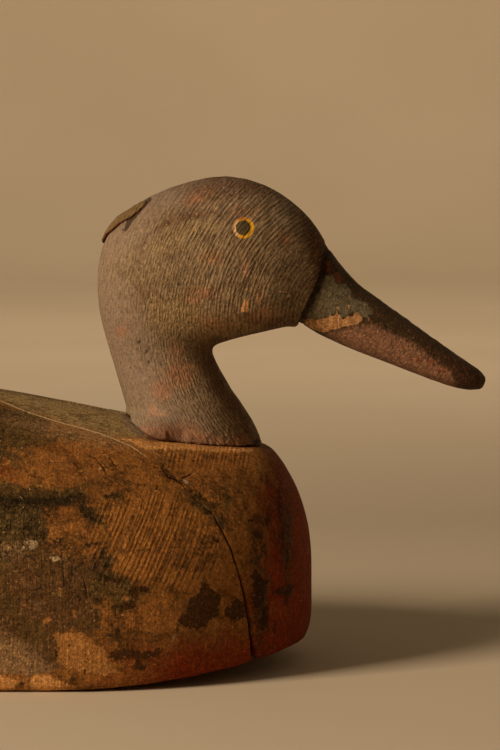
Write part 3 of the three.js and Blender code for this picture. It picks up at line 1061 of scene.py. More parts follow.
BODY_WORN = (
    # The old dark coat: flakes round the drying check, on the flank and low down, and specks
    *outlines(
        Layer.DARK,
        ((203, 583), (210, 583), (211, 589), (214, 592.5), (220, 594), (220, 603), (218, 606.5),
         (218, 615.5), (211, 618), (205.5, 623.5), (199.5, 629.5), (189, 628), (179, 622.5), (177.5, 618),
         (185.5, 613), (188, 607.5), (189, 601), (194, 597), (198.5, 591.5)),
        ((224.5, 608.5), (229.5, 606.5), (232, 601), (238.5, 599), (243, 601), (245.5, 608), (245, 616),
         (238.5, 620), (229.5, 619), (224, 615)),
        ((251, 575.5), (255, 570.5), (260.5, 576.5), (267.5, 581), (264, 591.5), (265, 599.5),
         (261.5, 606.5), (256, 610), (251.5, 599.5), (253.5, 588)),
        ((264, 606.5), (267.5, 605), (267.5, 623.5), (265, 631.5), (259, 628), (260.5, 617)),
        ((271, 593.5), (277.5, 588), (284.5, 585.5), (291.5, 583.5), (295, 589), (290, 594), (286, 596),
         (287, 603), (283.5, 602), (283, 595), (277.5, 595)),
        ((129, 590), (134, 588), (142, 584), (149, 587), (151, 592), (145, 592), (139, 591), (137, 598),
         (135, 606), (127, 609), (115, 610), (110, 606), (122, 604), (130, 601), (132, 596)),
        ((94, 598), (100, 600), (104, 607), (99, 605)),
        ((110, 650), (120, 649), (129, 650), (138, 651), (152, 651), (162, 648), (160, 653), (152, 658),
         (144, 659), (140, 661), (147, 667), (146, 671), (136, 669), (128, 668), (134, 663), (132, 658),
         (126, 658), (120, 661), (110, 658)),
    ),
    *ovals(
        Layer.DARK,
        (112, 580, 9, 2.5, -10), (171, 478, 4.5, 1.1, -25), (180.5, 482, 3.6, 1.5, -30),
        (165, 470, 3, 0.8, -50), (190, 491, 1.6, 1.2), (200, 496, 1.4, 2.2), (205, 500, 2, 1.2),
        (213, 506, 1.2, 2), (206, 514, 1.6, 1.4), (203, 543, 3, 1.3), (214, 541, 2.4, 1.2),
        (209, 547, 1.4, 1.4), (252.5, 520, 3.5, 2.4), (257, 534, 2.6, 4.4, 20), (15, 414, 2.6, 1.2),
        (64.5, 420.5, 1.4, 0.9), (274.5, 628, 1.4, 3.4), (130.8, 424, 1.8, 1.2),
        (137, 428.5, 2.2, 0.9, -30), (70, 644, 1.2, 1.6), (58, 646.5, 1.8, 1), (89.5, 657, 0.9, 2.4),
        (56.5, 653, 1, 1.4), (84, 671, 2.4, 1.4), (22, 684, 2.6, 1.2),
    ),
    # The olive coat: along the back, under its strip, over the rear flank and down the breast
    *outlines(
        Layer.OLIVE,
        ((90, 588), (96, 577), (112, 573), (124, 577), (136, 587), (148, 586), (151, 592), (140, 595),
         (137, 601), (134, 608), (124, 610), (114, 611), (106, 605), (118, 600), (117, 596), (104, 598),
         (100, 606), (95, 604)),
        ((-40, 480), (10, 483), (30, 485), (45, 489), (60, 490), (75, 488), (88, 484), (85, 492),
         (80, 500), (60, 503), (42, 508), (46, 522), (46, 535), (40, 545), (30, 550), (10, 560),
         (-40, 566)),
        ((-20, 400), (0, 405), (25, 410), (49.5, 422), (48, 434), (38, 446), (20, 452), (10, 448),
         (-20, 440)),
        ((48, 434.5), (64, 433), (80, 433.5), (80, 438), (64, 437), (50, 441.5), (39, 443.5), (32, 447),
         (32, 456), (25, 458.5), (24, 447), (29, 438), (39, 434.5)),
        ((-20, 441), (7, 441.5), (10.5, 448.5), (20, 454), (26.5, 456), (24, 463), (13, 463), (7, 459),
         (-20, 461)),
    ),
    *ovals(
        Layer.OLIVE,
        (225, 501, 2.5, 9), (205, 510, 20, 4, -38), (255, 556, 2, 9), (262, 600, 6, 30),
        (125, 592, 18, 10), (93, 516, 14, 5, -40), (288, 540, 4, 40),
    ),
    # Soot: the long streak on the rear flank, upright marks and specks
    *outlines(
        Layer.SOOT,
        ((-20, 495), (10, 496), (30, 498), (45, 497), (60, 496), (74, 498), (82, 494), (87, 497),
         (80, 504), (64, 506), (52, 510), (48, 516), (44, 514), (46, 507), (30, 506), (10, 504),
         (-20, 503)),
        ((79, 499), (83, 494), (86, 497), (83, 506), (85, 511), (92, 513), (98, 520), (93, 521),
         (86, 517), (80, 512), (79, 506)),
        ((104, 495), (112, 493), (121, 496), (119, 499), (110, 499)),
    ),
    *ovals(
        Layer.SOOT,
        (44, 540, 1.4, 2.4), (58, 541, 4, 1.3, 15), (92, 545, 5, 1.4, 12), (101, 556, 3, 2.4),
        (96, 566, 2.4, 3.4), (106, 566, 1.6, 2.4), (144, 548, 4, 1, -40), (118, 548, 3, 1.2, -30),
        (78, 566, 6, 1.6, 60), (71, 577, 1.6, 6), (99, 575, 2, 6, 20), (76, 597, 5, 1.6, -20),
        (68, 548, 7, 1.4, -10), (40, 586, 1.4, 5), (52, 572, 4, 1.4, 30), (114, 615, 1, 2),
        (112, 624, 1.4, 1), (117, 632, 1, 2), (109, 636, 1.6, 1), (124, 626, 1, 1.6), (61, 560, 1, 6),
        (84, 590, 1, 7), (27, 556, 4, 1), (30, 474, 4, 1.4, -20), (279, 507, 2, 13),
        (282.5, 537, 1.8, 12), (286, 561, 1.4, 8), (263, 545, 1.6, 8, 12), (268, 520, 1.6, 5),
    ),
    # Bare wood: a torn patch low on the flank and the worn lower edge
    *outlines(
        Layer.BARE,
        ((54, 636), (64, 633), (80, 633), (88, 638), (96, 642), (102, 648), (108, 650), (106, 658),
         (112, 664), (118, 672), (104, 676), (92, 672), (80, 674), (70, 668), (60, 668), (57, 660),
         (58, 648)),
        ((-20, 677), (14, 674), (30, 676), (44, 673), (58, 678), (72, 685), (84, 692), (-20, 696)),
    ),
    *ovals(
        Layer.BARE,
        (47, 620, 4.5, 3.5, 20), (74, 613, 3, 5), (126, 599, 3.5, 2.5), (24, 604, 2, 1.4),
        (60, 590, 1.4, 2.4),
    ),
    # Grime round the streak, the check and the larger flakes
    *outlines(
        Layer.PIT,
        ((-20, 492), (20, 492), (45, 493), (70, 493), (80, 497), (72, 503), (50, 505), (20, 507),
         (-20, 509)),
    ),
    *ovals(
        Layer.PIT,
        (255.5, 564, 3, 10), (253, 527, 5, 4), (259, 536, 4, 8), (196, 497, 18, 5, -38),
        (222, 522, 13, 6, -60), (172, 478, 9, 3, -25), (212, 488, 16, 7, -35), (279.5, 501, 3, 12),
        (282, 532, 3.5, 16), (206, 541, 8, 3.5), (86, 510, 6, 10), (92, 521, 8, 6), (104, 552, 5, 5),
        (104, 570, 8, 8), (91, 543, 6, 2.5), (53, 531, 7, 2.5), (113, 498, 9, 4), (258, 625, 5, 30),
        (120, 478, 12, 4, -35), (68, 677, 8, 4), (116, 628, 7, 15), (20, 684, 9, 4), (64, 545, 14, 8),
        (60, 520, 12, 4),
    ),
    # Bright wood on the worn rim, and a painted highlight along the seam under the neck
    *outlines(
        Layer.PINK,
        ((-20, 675), (0, 676), (16, 682), (14, 692), (-20, 695)),
        ((31, 676), (40, 674), (52, 678), (60, 682), (66, 692), (31, 692)),
        ((118, 438), (152, 439), (184, 442), (214, 447), (252, 449), (252, 452), (214, 452), (184, 450),
         (165, 450), (148, 450), (132, 443)),
    ),
    # Rubbed tan low at the rear, and a little on the back
    *outlines(
        Layer.TAN,
        ((-40, 618), (-10, 628), (14, 640), (34, 652), (50, 668), (46, 682), (-40, 690)),
    ),
    *ovals(
        Layer.TAN,
        (66, 431, 44, 5, -12), (4, 552, 12, 6),
    ),
    # Worn ochre on the flank and beside the check
    *outlines(
        Layer.ORANGE,
        ((38, 442), (97, 442), (110, 455), (105, 475), (85, 482), (60, 478), (40, 475), (32, 462),
         (30, 450)),
        ((186, 462), (214, 458), (236, 462), (232, 482), (214, 500), (196, 492)),
    ),
    *ovals(
        Layer.ORANGE,
        (247, 508, 9, 14), (150, 622, 22, 14), (130, 680, 40, 9), (235, 530, 9, 24, -14),
        (72, 531, 14, 5),
    ),
    # Rust-red rubbed through at the rear, low down and low on the breast
    *outlines(
        Layer.RUST,
        ((-20, 464), (5, 465), (9, 470), (18, 473.5), (25, 475), (23, 481.5), (11.5, 480.5), (-20, 476)),
        ((273, 596), (281, 598), (283.5, 603), (288, 606.5), (289, 618), (282.5, 621), (273, 622.5),
         (268.5, 612), (268.5, 605)),
    ),
    *ovals(
        Layer.RUST,
        (270.5, 630, 2.4, 5), (61.5, 509.5, 8, 2.6), (228, 592, 4, 12), (214, 642, 20, 6, 6),
        (222, 660, 18, 4, 8),
    ),
    # The grey film over the rear flank
    *outlines(
        Layer.FILM,
        ((-40, 503), (20, 504), (40, 508), (44, 520), (48, 535), (50, 545), (60, 552), (75, 557),
         (90, 555), (105, 552), (118, 562), (112, 575), (100, 578), (94, 588), (95, 600), (100, 610),
         (104, 622), (96, 634), (88, 637), (80, 632), (64, 632), (54, 635), (57, 655), (57, 667),
         (50, 672), (30, 674), (-40, 676)),
    ),
    # Putty smeared on the back behind the neck
    *outlines(
        Layer.PUTTY,
        ((120, 408), (140, 412), (150, 420), (150, 439), (143, 438), (136, 434), (128, 428), (121, 417)),
    ),
    # The neck's paint carried over the seam, made lighter as painted light against the shade in the corner
    *outlines(
        Layer.NECK,
        ((144.5, 420), (158, 420), (158, 439.5), (152, 439), (144.5, 437)),
    ),
    # Fresh pale chips
    *outlines(
        Layer.CHIP,
        ((26.5, 540), (37, 541), (38, 545), (34, 550), (30, 549)),
        ((48.5, 557), (57, 556), (61, 560), (54, 561.5)),
    ),
    *ovals(
        Layer.CHIP,
        (23, 548, 1.4, 3), (100, 468.5, 1, 1), (185.5, 482.5, 2.6, 1.6, -40), (174, 638.5, 0.9, 2.6, -15),
        (193, 474, 1, 0.6),
    ),
    # Open rasp marks on the flank and under the seam
    *outlines(
        Layer.RASP,
        ((96, 504), (150, 490), (180, 500), (215, 530), (228, 560), (200, 585), (120, 592), (92, 566)),
        ((166, 450), (252, 451), (250, 465), (166, 464)),
    ),
)
BODY_WEAR = (
    Wear(Layer.DARK, 17.0, 0.36, 11),
    Wear(Layer.BARE, 26.0, 0.46, 12),
    Wear(Layer.ORANGE, 40.0, 0.05, 13),
    Wear(Layer.FILM, 62.0, 0.14, 14),
    Wear(Layer.OLIVE, 56.0, 0.2, 15),
    Wear(Layer.CHIP, 7.0, 0.62, 16),
    Wear(Layer.RUST, 24.0, 0.2, 17),
    Wear(Layer.RASP, 90.0, 0.05, 18),
    Wear(Layer.PIT, 20.0, 0.25, 19),
)
HEAD_WORN = (
    # Bare wood: the chipped root of the bill and a fresh chip on the cheek
    *outlines(
        Layer.BARE,
        ((300, 321), (308, 319.5), (320, 319.5), (330.5, 316), (335, 315), (336.5, 310.5), (339, 315),
         (343, 319.5), (348, 316), (352.5, 316), (357, 311.5), (359.5, 315), (362, 316), (360.5, 322),
         (355, 324.5), (348, 325.5), (341, 327), (337.5, 329), (333, 329), (324, 332.5), (314.5, 330),
         (304, 324.5)),
        ((246.2, 295), (248, 303), (248.7, 309.3), (246.2, 313), (242, 311.8), (240, 308), (243.2, 303)),
    ),
    *ovals(
        Layer.BARE,
        (339.5, 302.5, 1, 2.2), (337.5, 307.5, 1.2, 1.6), (348.5, 307, 1.2, 2.8, 25),
        (246.8, 289.6, 1.3, 2.2),
    ),
    # Small fresh chips
    *ovals(
        Layer.CHIP,
        (281, 291.5, 4.2, 0.9), (289.3, 295.8, 1.7, 1.4), (247, 269, 0.9, 1), (251, 276, 0.7, 1.2),
        (364, 335, 1.4, 1), (236, 255, 0.8, 1.4),
    ),
    # Peach rubbed on the cheek and at the neck's foot
    *ovals(
        Layer.FILM,
        (153, 410, 4, 6), (160, 413, 6, 2.5), (245, 268, 3, 9), (193, 300, 9, 4),
    ),
    # Pink rubbed through on the cheek, the neck and the crown
    *outlines(
        Layer.PINK,
        ((153, 424), (170, 424), (192, 423), (200, 430), (212, 437), (230, 437), (246, 434), (252, 446),
         (200, 444), (153, 437)),
    ),
    *ovals(
        Layer.PINK,
        (203, 292, 11, 4), (212, 258, 8, 5), (196, 198, 10, 5, 20), (258, 297, 3, 7), (262, 312, 7, 6),
        (285, 240, 5, 5), (122, 331, 5, 5), (176, 350, 5, 7), (180, 374, 15, 13), (162, 390, 9, 10),
        (213, 322, 16, 5, -10), (258, 316, 14, 4, 10), (243, 212, 9, 3),
    ),
    # Olive along the jaw, and under the brow olive made lighter as a painted highlight on the ridge
    *outlines(
        Layer.OLIVE,
        ((148, 252), (155, 243), (165, 238), (178, 232), (195, 226), (215, 224), (215, 231), (195, 233),
         (180, 238), (168, 245), (158, 254), (150, 256)),
        ((150, 296), (200, 305), (262, 326), (240, 336), (214, 340), (170, 330), (150, 320)),
        both_sides=True,
    ),
    # Slate on the side of the bill
    *outlines(
        Layer.SLATE,
        ((320.5, 272.5), (332, 276), (335.5, 283), (344.5, 284), (351.5, 291), (353, 298), (366, 303),
         (372, 312), (366, 318), (352, 312), (348, 316), (342, 317), (337.5, 312), (330.5, 316),
         (317, 320), (304, 321), (302, 316), (309, 300), (314, 285)),
        both_sides=True,
    ),
    # Rust at the bill's root and near its tip
    *outlines(
        Layer.RUST,
        ((323, 256), (330, 260), (331, 271), (323, 272)),
        ((333, 273), (338, 272.5), (343, 279), (341, 283), (335, 281)),
    ),
    *ovals(
        Layer.RUST,
        (431, 363, 5, 2.6, -35), (441.5, 371, 4.5, 2.4, -35), (417, 360, 3, 2, -30),
    ),
    # Pink rubbed along the bill's lower edge
    *outlines(
        Layer.ORANGE,
        ((324, 334), (345, 327), (362, 323), (372, 325), (383, 330), (395, 334), (410, 342), (419, 351),
         (433, 359.5), (444, 368), (452, 374), (455, 386), (430, 384), (400, 372), (360, 356)),
        both_sides=True,
    ),
    # Pits in the neck, painted shade in small gaps at its foot, and a painted shadow under the crown
    # patch's edge
    *outlines(
        Layer.PIT,
        ((122, 230), (128, 219), (136, 209), (143, 201), (150, 196), (152, 198.5), (146, 205.5),
         (139, 213), (132, 222.5), (126, 231)),
    ),
    *ovals(
        Layer.PIT,
        (139.5, 342, 1.5, 1.7), (146.5, 352, 1.2, 2.2, -30), (149, 362, 0.9, 1.6), (180, 334, 1, 1.6),
        (179, 284, 1.6, 2.4), (256, 442, 3, 2.6), (130.5, 424, 1.4, 1), (136.5, 429, 2.4, 0.8, -35),
        (252.5, 271, 0.5, 10, -12), (180, 436, 0.6, 4), (170, 437, 0.7, 4), (193, 440, 0.6, 4),
        (208, 441, 0.7, 4), (225, 441, 0.9, 4.5),
    ),
    # Putty behind the neck
    *outlines(
        Layer.PUTTY,
        ((110, 402), (136, 399), (144, 406), (146, 415), (146, 444), (110, 444)),
        both_sides=True,
    ),
    # Painted shadow under the jaw and painted shade down the throat, in dark red-brown
    *outlines(
        Layer.RED,
        ((196, 345), (212, 333), (240, 325), (300, 318), (300, 330), (240, 345), (222, 352), (222, 372),
         (240, 400), (264, 446), (244, 442), (232, 420), (214, 392), (203, 368)),
        both_sides=True,
    ),
)


# The three carved pieces


@dataclass
class Body(Carving):
    """The carved body: rasped breast, drying check, scratch and flaked coats of paint.

    Lines are in the photograph's pixels, the rest in millimetres.
    """

    node: str = "body"
    name: str = "carved_body"
    slot: str = "body_paint"
    voxel: float = 1.94
    easing: int = 6
    check_line: Line = (
        (184.5, 488), (191.5, 496.5), (199.5, 503), (207.5, 509), (213, 514), (218, 524), (223.5, 533),
        (231.5, 549.5), (238.5, 573), (243, 587), (246.5, 603), (249, 619), (251.5, 638.5), (254, 662),
    )
    check_width: tuple[float, float] = (0.1, 1.25)
    check_depth: float = 2.2
    hairlines: tuple[tuple[Line, float], ...] = (
        (((162, 468), (168, 478), (175.5, 480), (181, 484), (184.5, 488)), 0.22),
        (((181, 479), (186, 477), (192.5, 474.5)), 0.2),
        (((97, 459), (103, 467), (107, 474)), 0.15),
        (((109, 457), (113, 462), (117, 468)), 0.15),
        (((74, 462), (79, 468)), 0.12),
        (((83, 449), (92, 457), (97, 459)), 0.1),
        (((84, 580), (86, 590), (87, 600)), 0.14),
        (((63.5, 560), (63, 572), (64, 583)), 0.14),
    )
    scratch_line: Line = (
        (-8, 398), (0, 401), (26.5, 411.5), (56.5, 421), (82, 428), (106, 435.5), (131, 446), (145, 456),
    )
    strip_line: Line = ((-90, 437), (112, 437), (153, 438.5), (260, 440))
    unseen_x: float = 22.0
    strip_x: float = -20.0
    neck_x: float = 81.0
    breast_x: float = 117.0
    sole_z: float = 17.0
    crest_z: float = 98.0

    def near_line(self, centres: Array, reach: float, hair: float) -> Array:
        """Says which faces lie close to the drying check or to a finer crack.

        Args:
            centres: The faces' centres, in millimetres.
            hair: How close to a finer crack, in millimetres.

        Returns:
            True for each face that is close.
        """
        seen = VIEW.seen(centres)
        close = np.abs(beside(seen, self.check_line)[0]) * PIXEL < reach
        for line, _ in self.hairlines:
            close |= np.abs(beside(seen, line)[0]) * PIXEL < hair
        return close & (centres[:, 1] < 0)

    def lines(self, skin: Skin) -> tuple[Array, Array, Array]:
        """The drying check, what leads to it, and the scratch.

        Args:
            skin: The body as it is.

        Returns:
            How far inside the check each point is, how deep it is there, and the distance
            from the scratch.
        """
        seen = skin.seen()
        gap, share = beside(seen, self.check_line)
        wave = 0.25 * noise(skin.points / 2.6, 77) * (1 - 0.7 * share)
        half = (self.check_width[0] + (self.check_width[1] - self.check_width[0]) * share**1.4) / 2
        inside = half - np.abs(gap * PIXEL + wave)
        depth = self.check_depth * (0.12 + 0.88 * share)
        for line, width in self.hairlines:
            along, passed = beside(seen, line)
            end = np.minimum(passed, 1 - passed) * 4
            strip = width * np.clip(end + 0.3, 0, 1) - np.abs(along * PIXEL + wave)
            inside = np.maximum(inside, strip)
        inside = np.where(skin.near(), inside, -FIELD_LIMIT)
        scratch = np.where(skin.near(), beside(seen, self.scratch_line)[0] * PIXEL, FIELD_LIMIT)
        return inside, depth, scratch

    def strew(self, spots: Array) -> None:
        """Strews worn patches over the far side and the rear, fewer towards the breast.

        Args:
            spots: The body's points, in millimetres.
        """
        x, y, _ = spots.T
        beyond = 0.6 * np.maximum(self.unseen_x - x, y)
        fewer = 0.15 * np.clip(x - 60, 0, None)
        for wear in BODY_WEAR:
            strewn = np.minimum(wear.field(spots) - fewer, beyond)
            self.fields[wear.layer] = np.maximum(self.fields[wear.layer], strewn)

    def lay_by_form(self, skin: Skin, scratch: Array) -> None:
        """Lays the red of the breast and the lower edge, and the smooth coat of the back.

        Args:
            skin: The body as it is.
            scratch: Distance above the scratch, where the smooth coat ends.
        """
        x, _, z = skin.points.T
        breast = x - self.breast_x - 0.15 * (z - 30)
        edge = np.minimum(self.sole_z - z + 0.12 * (x - 110), 0.3 * (x - 76))
        self.fields[Layer.RED] = np.maximum(breast, edge)
        strip, _ = beside(skin.seen(), self.strip_line)
        crest = z - self.crest_z + 3 * layered(skin.points, 30.0, 2, 66)
        upper = np.where(x > self.strip_x, np.minimum(scratch, strip * PIXEL), crest)
        self.fields[Layer.SMOOTH] = np.minimum(upper - 0.3, 0.6 * (self.neck_x - x))

    def relief(self, spots: Array) -> Array:
        """Heights of the knife and rasp work, in millimetres.

        Args:
            spots: The body's points, in millimetres.

        Returns:
            One height for each point.
        """
        # Facets of the knife, then rasp strokes, then the thickness of the coats
        height = 0.35 * layered(spots, 46.0, 2, 1) + 0.12 * layered(spots, 9.0, 2, 5)
        dx = spots[:, 0] - BODY_RASP_CENTRE[0]
        dz = spots[:, 2] - BODY_RASP_CENTRE[1]
        polar = np.stack([np.hypot(dx, dz) / 0.9, np.arctan2(dz, dx) * STROKE_ARC / 7, spots[:, 1] / 12], 1)
        height += 0.08 * ramp(self.fields[Layer.RASP], -1, 6) * noise(polar, 31)
        height += 0.1 * ramp(self.fields[Layer.DARK], -0.4, 0.4)
        height -= 0.12 * ramp(self.fields[Layer.BARE], -0.5, 0.5)
        height += 0.1 * ramp(self.fields[Layer.FILM], -1, 1) * layered(spots, 2.4, 2, 15)
        return height

    def build(self) -> bpy.types.Object:
        """Makes the body.

        Returns:
            The finished object.
        """
        piece = self.blank()
        self.refine(piece, lambda c: (c[:, 1] < -12) & (c[:, 0] > 20) & (c[:, 2] > 1), 3)
        for reach, hair, easing in ((4.5, 1.6, 2), (2.6, 1.0, 1)):
            self.refine(piece, lambda c: self.near_line(c, reach, hair), easing)
        skin = Skin(piece)
        inside, depth, scratch = self.lines(skin)
        self.fields = skin.fields(BODY_WORN)
        self.strew(skin.points)
        self.lay_by_form(skin, scratch)
        self.fields[Layer.CRACK] = inside
        self.fields[Layer.SCRATCH] = scratch
        skin.push(self.relief(skin.points) - depth * ramp(inside, -0.3, 0.2))
        return self.finish(skin, BodyPaint().material())


@dataclass
class Head(Carving):
    """The carved head: cheeks proud of the bill, ringed eyes, and putty behind the neck.

    The cheek's line is in z and x, the brow's in the photograph's pixels.
    """

    node: str = "head"
    name: str = "carved_head"
    slot: str = "head_paint"
    voxel: float = 0.66
    easing: int = 18
    foot_z: float = 94.0
    middle_z: float = 150.0
    crown_z: float = 176.0
    top_z: float = 180.0
    nape_x: float = 66.0
    throat_x: float = 138.0
    cheek_line: Line = (
        (129.0, 133.2), (135.3, 135.2), (140.1, 137.5), (145.2, 139.8), (150.1, 141.7), (155.5, 142.6),
        (162.0, 144.6),
    )
    brow_line: Line = (
        (148, 249), (154, 239), (162, 235), (170, 229), (177, 225), (193.5, 221), (213, 219),
    )

    def cheek(self, spots: Array) -> Array:
        """Distance in front of the line where the cheek ends and the bill begins.

        Args:
            spots: The head's points, in millimetres.

        Returns:
            One distance for each point, negative on the cheek.
        """
        heights, places = zip(*self.cheek_line)
        return (spots[:, 0] - np.interp(spots[:, 2], heights, places)) * 0.93

    def lay_by_form(self, skin: Skin) -> None:
        """Lays the finishes that follow the bill, the nape, the brow and the crown, with painted shade at
        the throat, on the crown and above the brow, and a painted shadow along the cheek's edge.

        Args:
            skin: The head as it is.
        """
        fields = self.fields
        x, _, z = skin.points.T
        front = self.cheek(skin.points)
        back = self.nape_x + 0.5 * np.abs(z - self.middle_z) + 14 * ramp(z, 168, self.top_z) - x
        fields[Layer.SMOOTH] = np.maximum(back * 0.6, np.minimum((z - self.crown_z) * 0.6, -1.5))
        fields[Layer.BILL] = front
        brow = np.abs(beside(skin.seen(), self.brow_line)[0] * PIXEL - 2.4)
        # Painted shade in dark red-brown down the throat, on the crown's top and in the groove above the
        # brow
        throat = x - self.throat_x + 0.2 * (z - self.middle_z)
        for deep in (throat, z - self.top_z, 1.2 - 2.5 * brow):
            fields[Layer.RED] = np.maximum(fields[Layer.RED], deep)
        # A painted shadow in dark brown along the bill, just in front of the proud cheek
        fields[Layer.PIT] = np.maximum(fields[Layer.PIT], 1.4 - np.abs(front - 0.9))
        rasped = np.minimum(-front - 0.5, 0.35 * (x - 100) + 0.12 * (z - 140))
        rasped = np.minimum(rasped, 0.6 * (self.top_z + 1 - z))
        fields[Layer.RASP] = np.minimum(rasped, 1 - fields[Layer.PUTTY])

    def relief(self, skin: Skin) -> Array:
        """Heights of the carving and the rasp strokes, in millimetres.

        Args:
            skin: The head as it is.

        Returns:
            One height for each point.
        """
        spots = skin.points
        x, _, z = spots.T
        _, across, up = skin.normals.T
        front = self.cheek(spots)
        height = 0.22 * layered(spots, 30.0, 2, 3) + 0.1 * layered(spots, 3.6, 2, 7)
        # The cheek stands proud and drops to the bill
        cheekward = ramp(front, -4.5, -0.2) * (front < 0)
        billward = np.exp(-np.clip(front, 0, None) / 1.4) * (front >= 0)
        side = ramp(np.abs(across) + 0.6 * (up < 0), 0.15, 0.6)
        height += side * (0.45 * cheekward - 1.7 * billward)
        # The brow is a ridge with a groove above it
        brow, along = beside(skin.seen(), self.brow_line)
        rise = brow * PIXEL
        fold = 0.8 * np.exp(-(((rise + 0.4) / 1.5) ** 2)) - 0.6 * np.exp(-(((rise - 2.3) / 0.9) ** 2))
        height += side * fold * ramp(along, 0.0, 0.15) * ramp(along, 1.0, 0.8)
        # The eye is a ring cut round a low pupil
        radius = np.hypot(x - EYE_CENTRE[0], z - EYE_CENTRE[1])
        ring = (EYE_RADIUS + PUPIL_RADIUS) / 2
        height -= 0.3 * np.clip(1 - np.abs(radius - ring) / 1.1, 0, 1)
        height += 0.1 * np.clip(1 - radius / PUPIL_RADIUS, 0, 1)
        # Flakes on the bill, pits, and torn wood at the neck's foot
        height += 0.16 * ramp(front, 3, 8) * ramp(up, -0.1, 0.5) * layered(spots, 2.2, 2, 9)
        height -= 0.35 * ramp(self.fields[Layer.PIT], -0.4, 0.4)
        ragged = layered(spots * (1, 1, 0.25), 1.5, 2, 14)
        plain = (1 - ramp(self.fields[Layer.PUTTY], -1, 1)) * ramp(x, 82, 90)
        height += 0.45 * ramp(z, self.foot_z, self.foot_z - 6) * plain * ragged
        return height

    def skirt(self, spots: Array) -> Array:
        """How far the neck's foot spreads over its seat at the back, in millimetres.

        Args:
            spots: The head's points, in millimetres.

        Returns:
            One distance for each point.
        """
        x, y, z = spots.T
        corners = 8.0 * ramp(z, self.foot_z + 4, self.foot_z - 4) * ramp(np.abs(y), 8, 15)
        return ramp(x, 90, 78) * (corners + 0.8 * ramp(z, self.foot_z + 5, self.foot_z + 2))

    def build(self) -> bpy.types.Object:
        """Makes the head.

        Returns:
            The finished object.
        """
        piece = self.blank()
        self.refine(piece, lambda c: np.hypot(c[:, 0] - EYE_CENTRE[0], c[:, 2] - EYE_CENTRE[1]) < 6.5, 1)
        skin = Skin(piece)
        self.fields = skin.fields(HEAD_WORN)
        self.lay_by_form(skin)
        skin.push(self.relief(skin))
        skin.push(self.skirt(skin.points), skin.normals * (1, 1, 0))
        return self.finish(skin, HeadPaint().material())


@dataclass
class CrownPatch(Carving):
    """The thin patch on the back of the crown, ragged along its upper edge."""

    node: str = "crown_patch"
    name: str = "repair_patch"
    slot: str = "patch_paint"
    voxel: float = 0.35
    easing: int = 3
    worn: float = 1.3

    def build(self) -> bpy.types.Object:
        """Makes the patch.

        Returns:
            The finished object.
        """
        skin = Skin(self.blank())
        crumbly = ramp(skin.points[:, 2], 168, 178)
        skin.push((0.12 + 0.3 * crumbly) * layered(skin.points, 2.4, 3, 8))
        skin.push(-self.worn * crumbly, PATCH_OUTWARD)
        return self.finish(skin, PatchPaint().material())


# Floor, light and camera


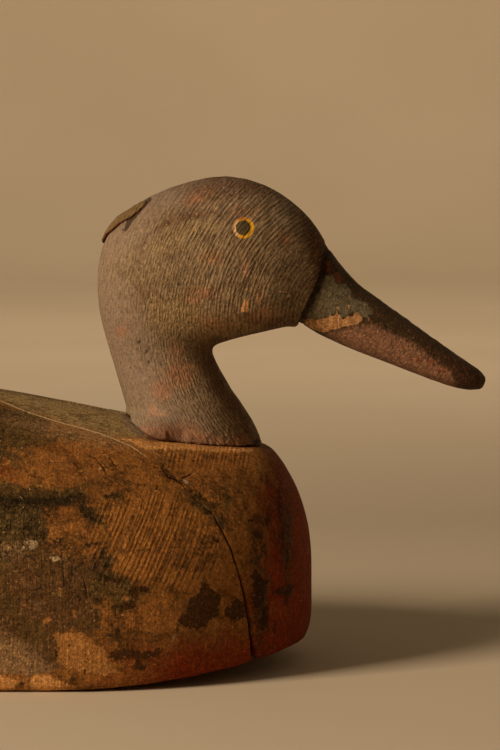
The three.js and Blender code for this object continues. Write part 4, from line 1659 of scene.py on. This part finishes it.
@dataclass
class Studio:
    """A round pale floor that curves up into a low wall, soft lamps and the camera."""

    floor_radius: float = 3.2
    cove_radius: float = 0.9
    cove_steps: int = 10
    wall_height: float = 1.6
    lamp_colour: str = "#FFE3C0"
    room_colour: str = "#E8CFA8"
    room_strength: float = 0.13

    def floor(self) -> bpy.types.Object:
        """Makes the floor and its curved wall.

        Returns:
            The finished object.
        """
        bpy.ops.object.select_all(action="DESELECT")
        bpy.ops.mesh.primitive_circle_add(vertices=128, radius=self.floor_radius, fill_type="NGON")
        floor = bpy.context.active_object
        floor.name = "floor"
        bpy.ops.object.mode_set(mode="EDIT")
        bpy.ops.mesh.select_mode(type="EDGE")
        bpy.ops.mesh.select_all(action="SELECT")
        bpy.ops.mesh.region_to_loop()
        turn = math.pi / 2 / self.cove_steps
        radius = self.floor_radius
        for i in range(self.cove_steps):
            out = self.cove_radius * (math.sin((i + 1) * turn) - math.sin(i * turn))
            rise = self.cove_radius * (math.cos(i * turn) - math.cos((i + 1) * turn))
            bpy.ops.mesh.extrude_region_move(TRANSFORM_OT_translate={"value": (0, 0, rise)})
            grow = (radius + out) / radius
            bpy.ops.transform.resize(value=(grow, grow, 1), center_override=(0, 0, 0))
            radius += out
        bpy.ops.mesh.extrude_region_move(TRANSFORM_OT_translate={"value": (0, 0, self.wall_height)})
        bpy.ops.object.mode_set(mode="OBJECT")
        bpy.ops.object.shade_smooth()
        floor.data.materials.append(FloorPaper().material())
        return floor

    def lamp(self, name: str, place: tuple[float, float, float], target: tuple[float, float, float],
             size: float, power: float, colour: str) -> None:
        """Adds one square soft lamp.

        Args:
            name: The lamp's name.
            place: Where it hangs, in metres.
            target: What it looks at, in metres.
            size: Length of its side, in metres.
            power: Its power, in watts.
            colour: Its colour, in hex.
        """
        way = np.array(target) - np.array(place)
        yaw = math.atan2(way[1], way[0]) - math.pi / 2
        tilt = math.atan2(math.hypot(way[0], way[1]), -way[2])
        bpy.ops.object.light_add(type="AREA", location=place, rotation=(tilt, 0, yaw))
        lamp = bpy.context.active_object
        lamp.name = name
        lamp.data.size = size
        lamp.data.energy = power
        lamp.data.color = linear(colour)[:3]

    def light(self) -> None:
        """Hangs the lamps and sets the dim light all round."""
        self.lamp("window_lamp", place=(-1.33, -1.02, 0.9), target=(0.06, 0.0, 0.09), size=0.6, power=37.0,
                  colour=self.lamp_colour)
        self.lamp("wall_lamp", place=(0.1, 1.2, 2.2), target=(0.1, 4.1, 1.2), size=2.0, power=36.5,
                  colour=self.lamp_colour)
        world = bpy.data.worlds.new("studio")
        world.use_nodes = True
        back = world.node_tree.nodes["Background"]
        back.inputs["Color"].default_value = linear(self.room_colour)
        back.inputs["Strength"].default_value = self.room_strength
        bpy.context.scene.world = world

    def camera(self) -> None:
        """Sets the camera at the photograph's viewing angle."""
        tilt = math.radians(90 - VIEW.pitch)
        place = [value * MM for value in VIEW.place]
        bpy.ops.object.camera_add(location=place, rotation=(tilt, 0, 0))
        camera = bpy.context.active_object
        camera.data.lens = VIEW.lens
        camera.data.sensor_width = VIEW.sensor
        camera.data.clip_end = 50.0
        bpy.context.scene.camera = camera

    def build(self) -> None:
        """Sets up the floor, the light and the camera."""
        self.floor()
        self.light()
        self.camera()
        bpy.context.scene.view_settings.view_transform = "Standard"
        LOG.info("studio ready")


def main() -> None:
    """Builds the studio and the decoy's pieces in order."""
    logging.basicConfig(level=logging.INFO, format="%(name)s %(message)s")
    Studio().build()
    for part in (Body(), Head(), CrownPatch()):
        piece = part.build()
        LOG.info("built %s", piece.name)


if __name__ == "__main__":
    main()
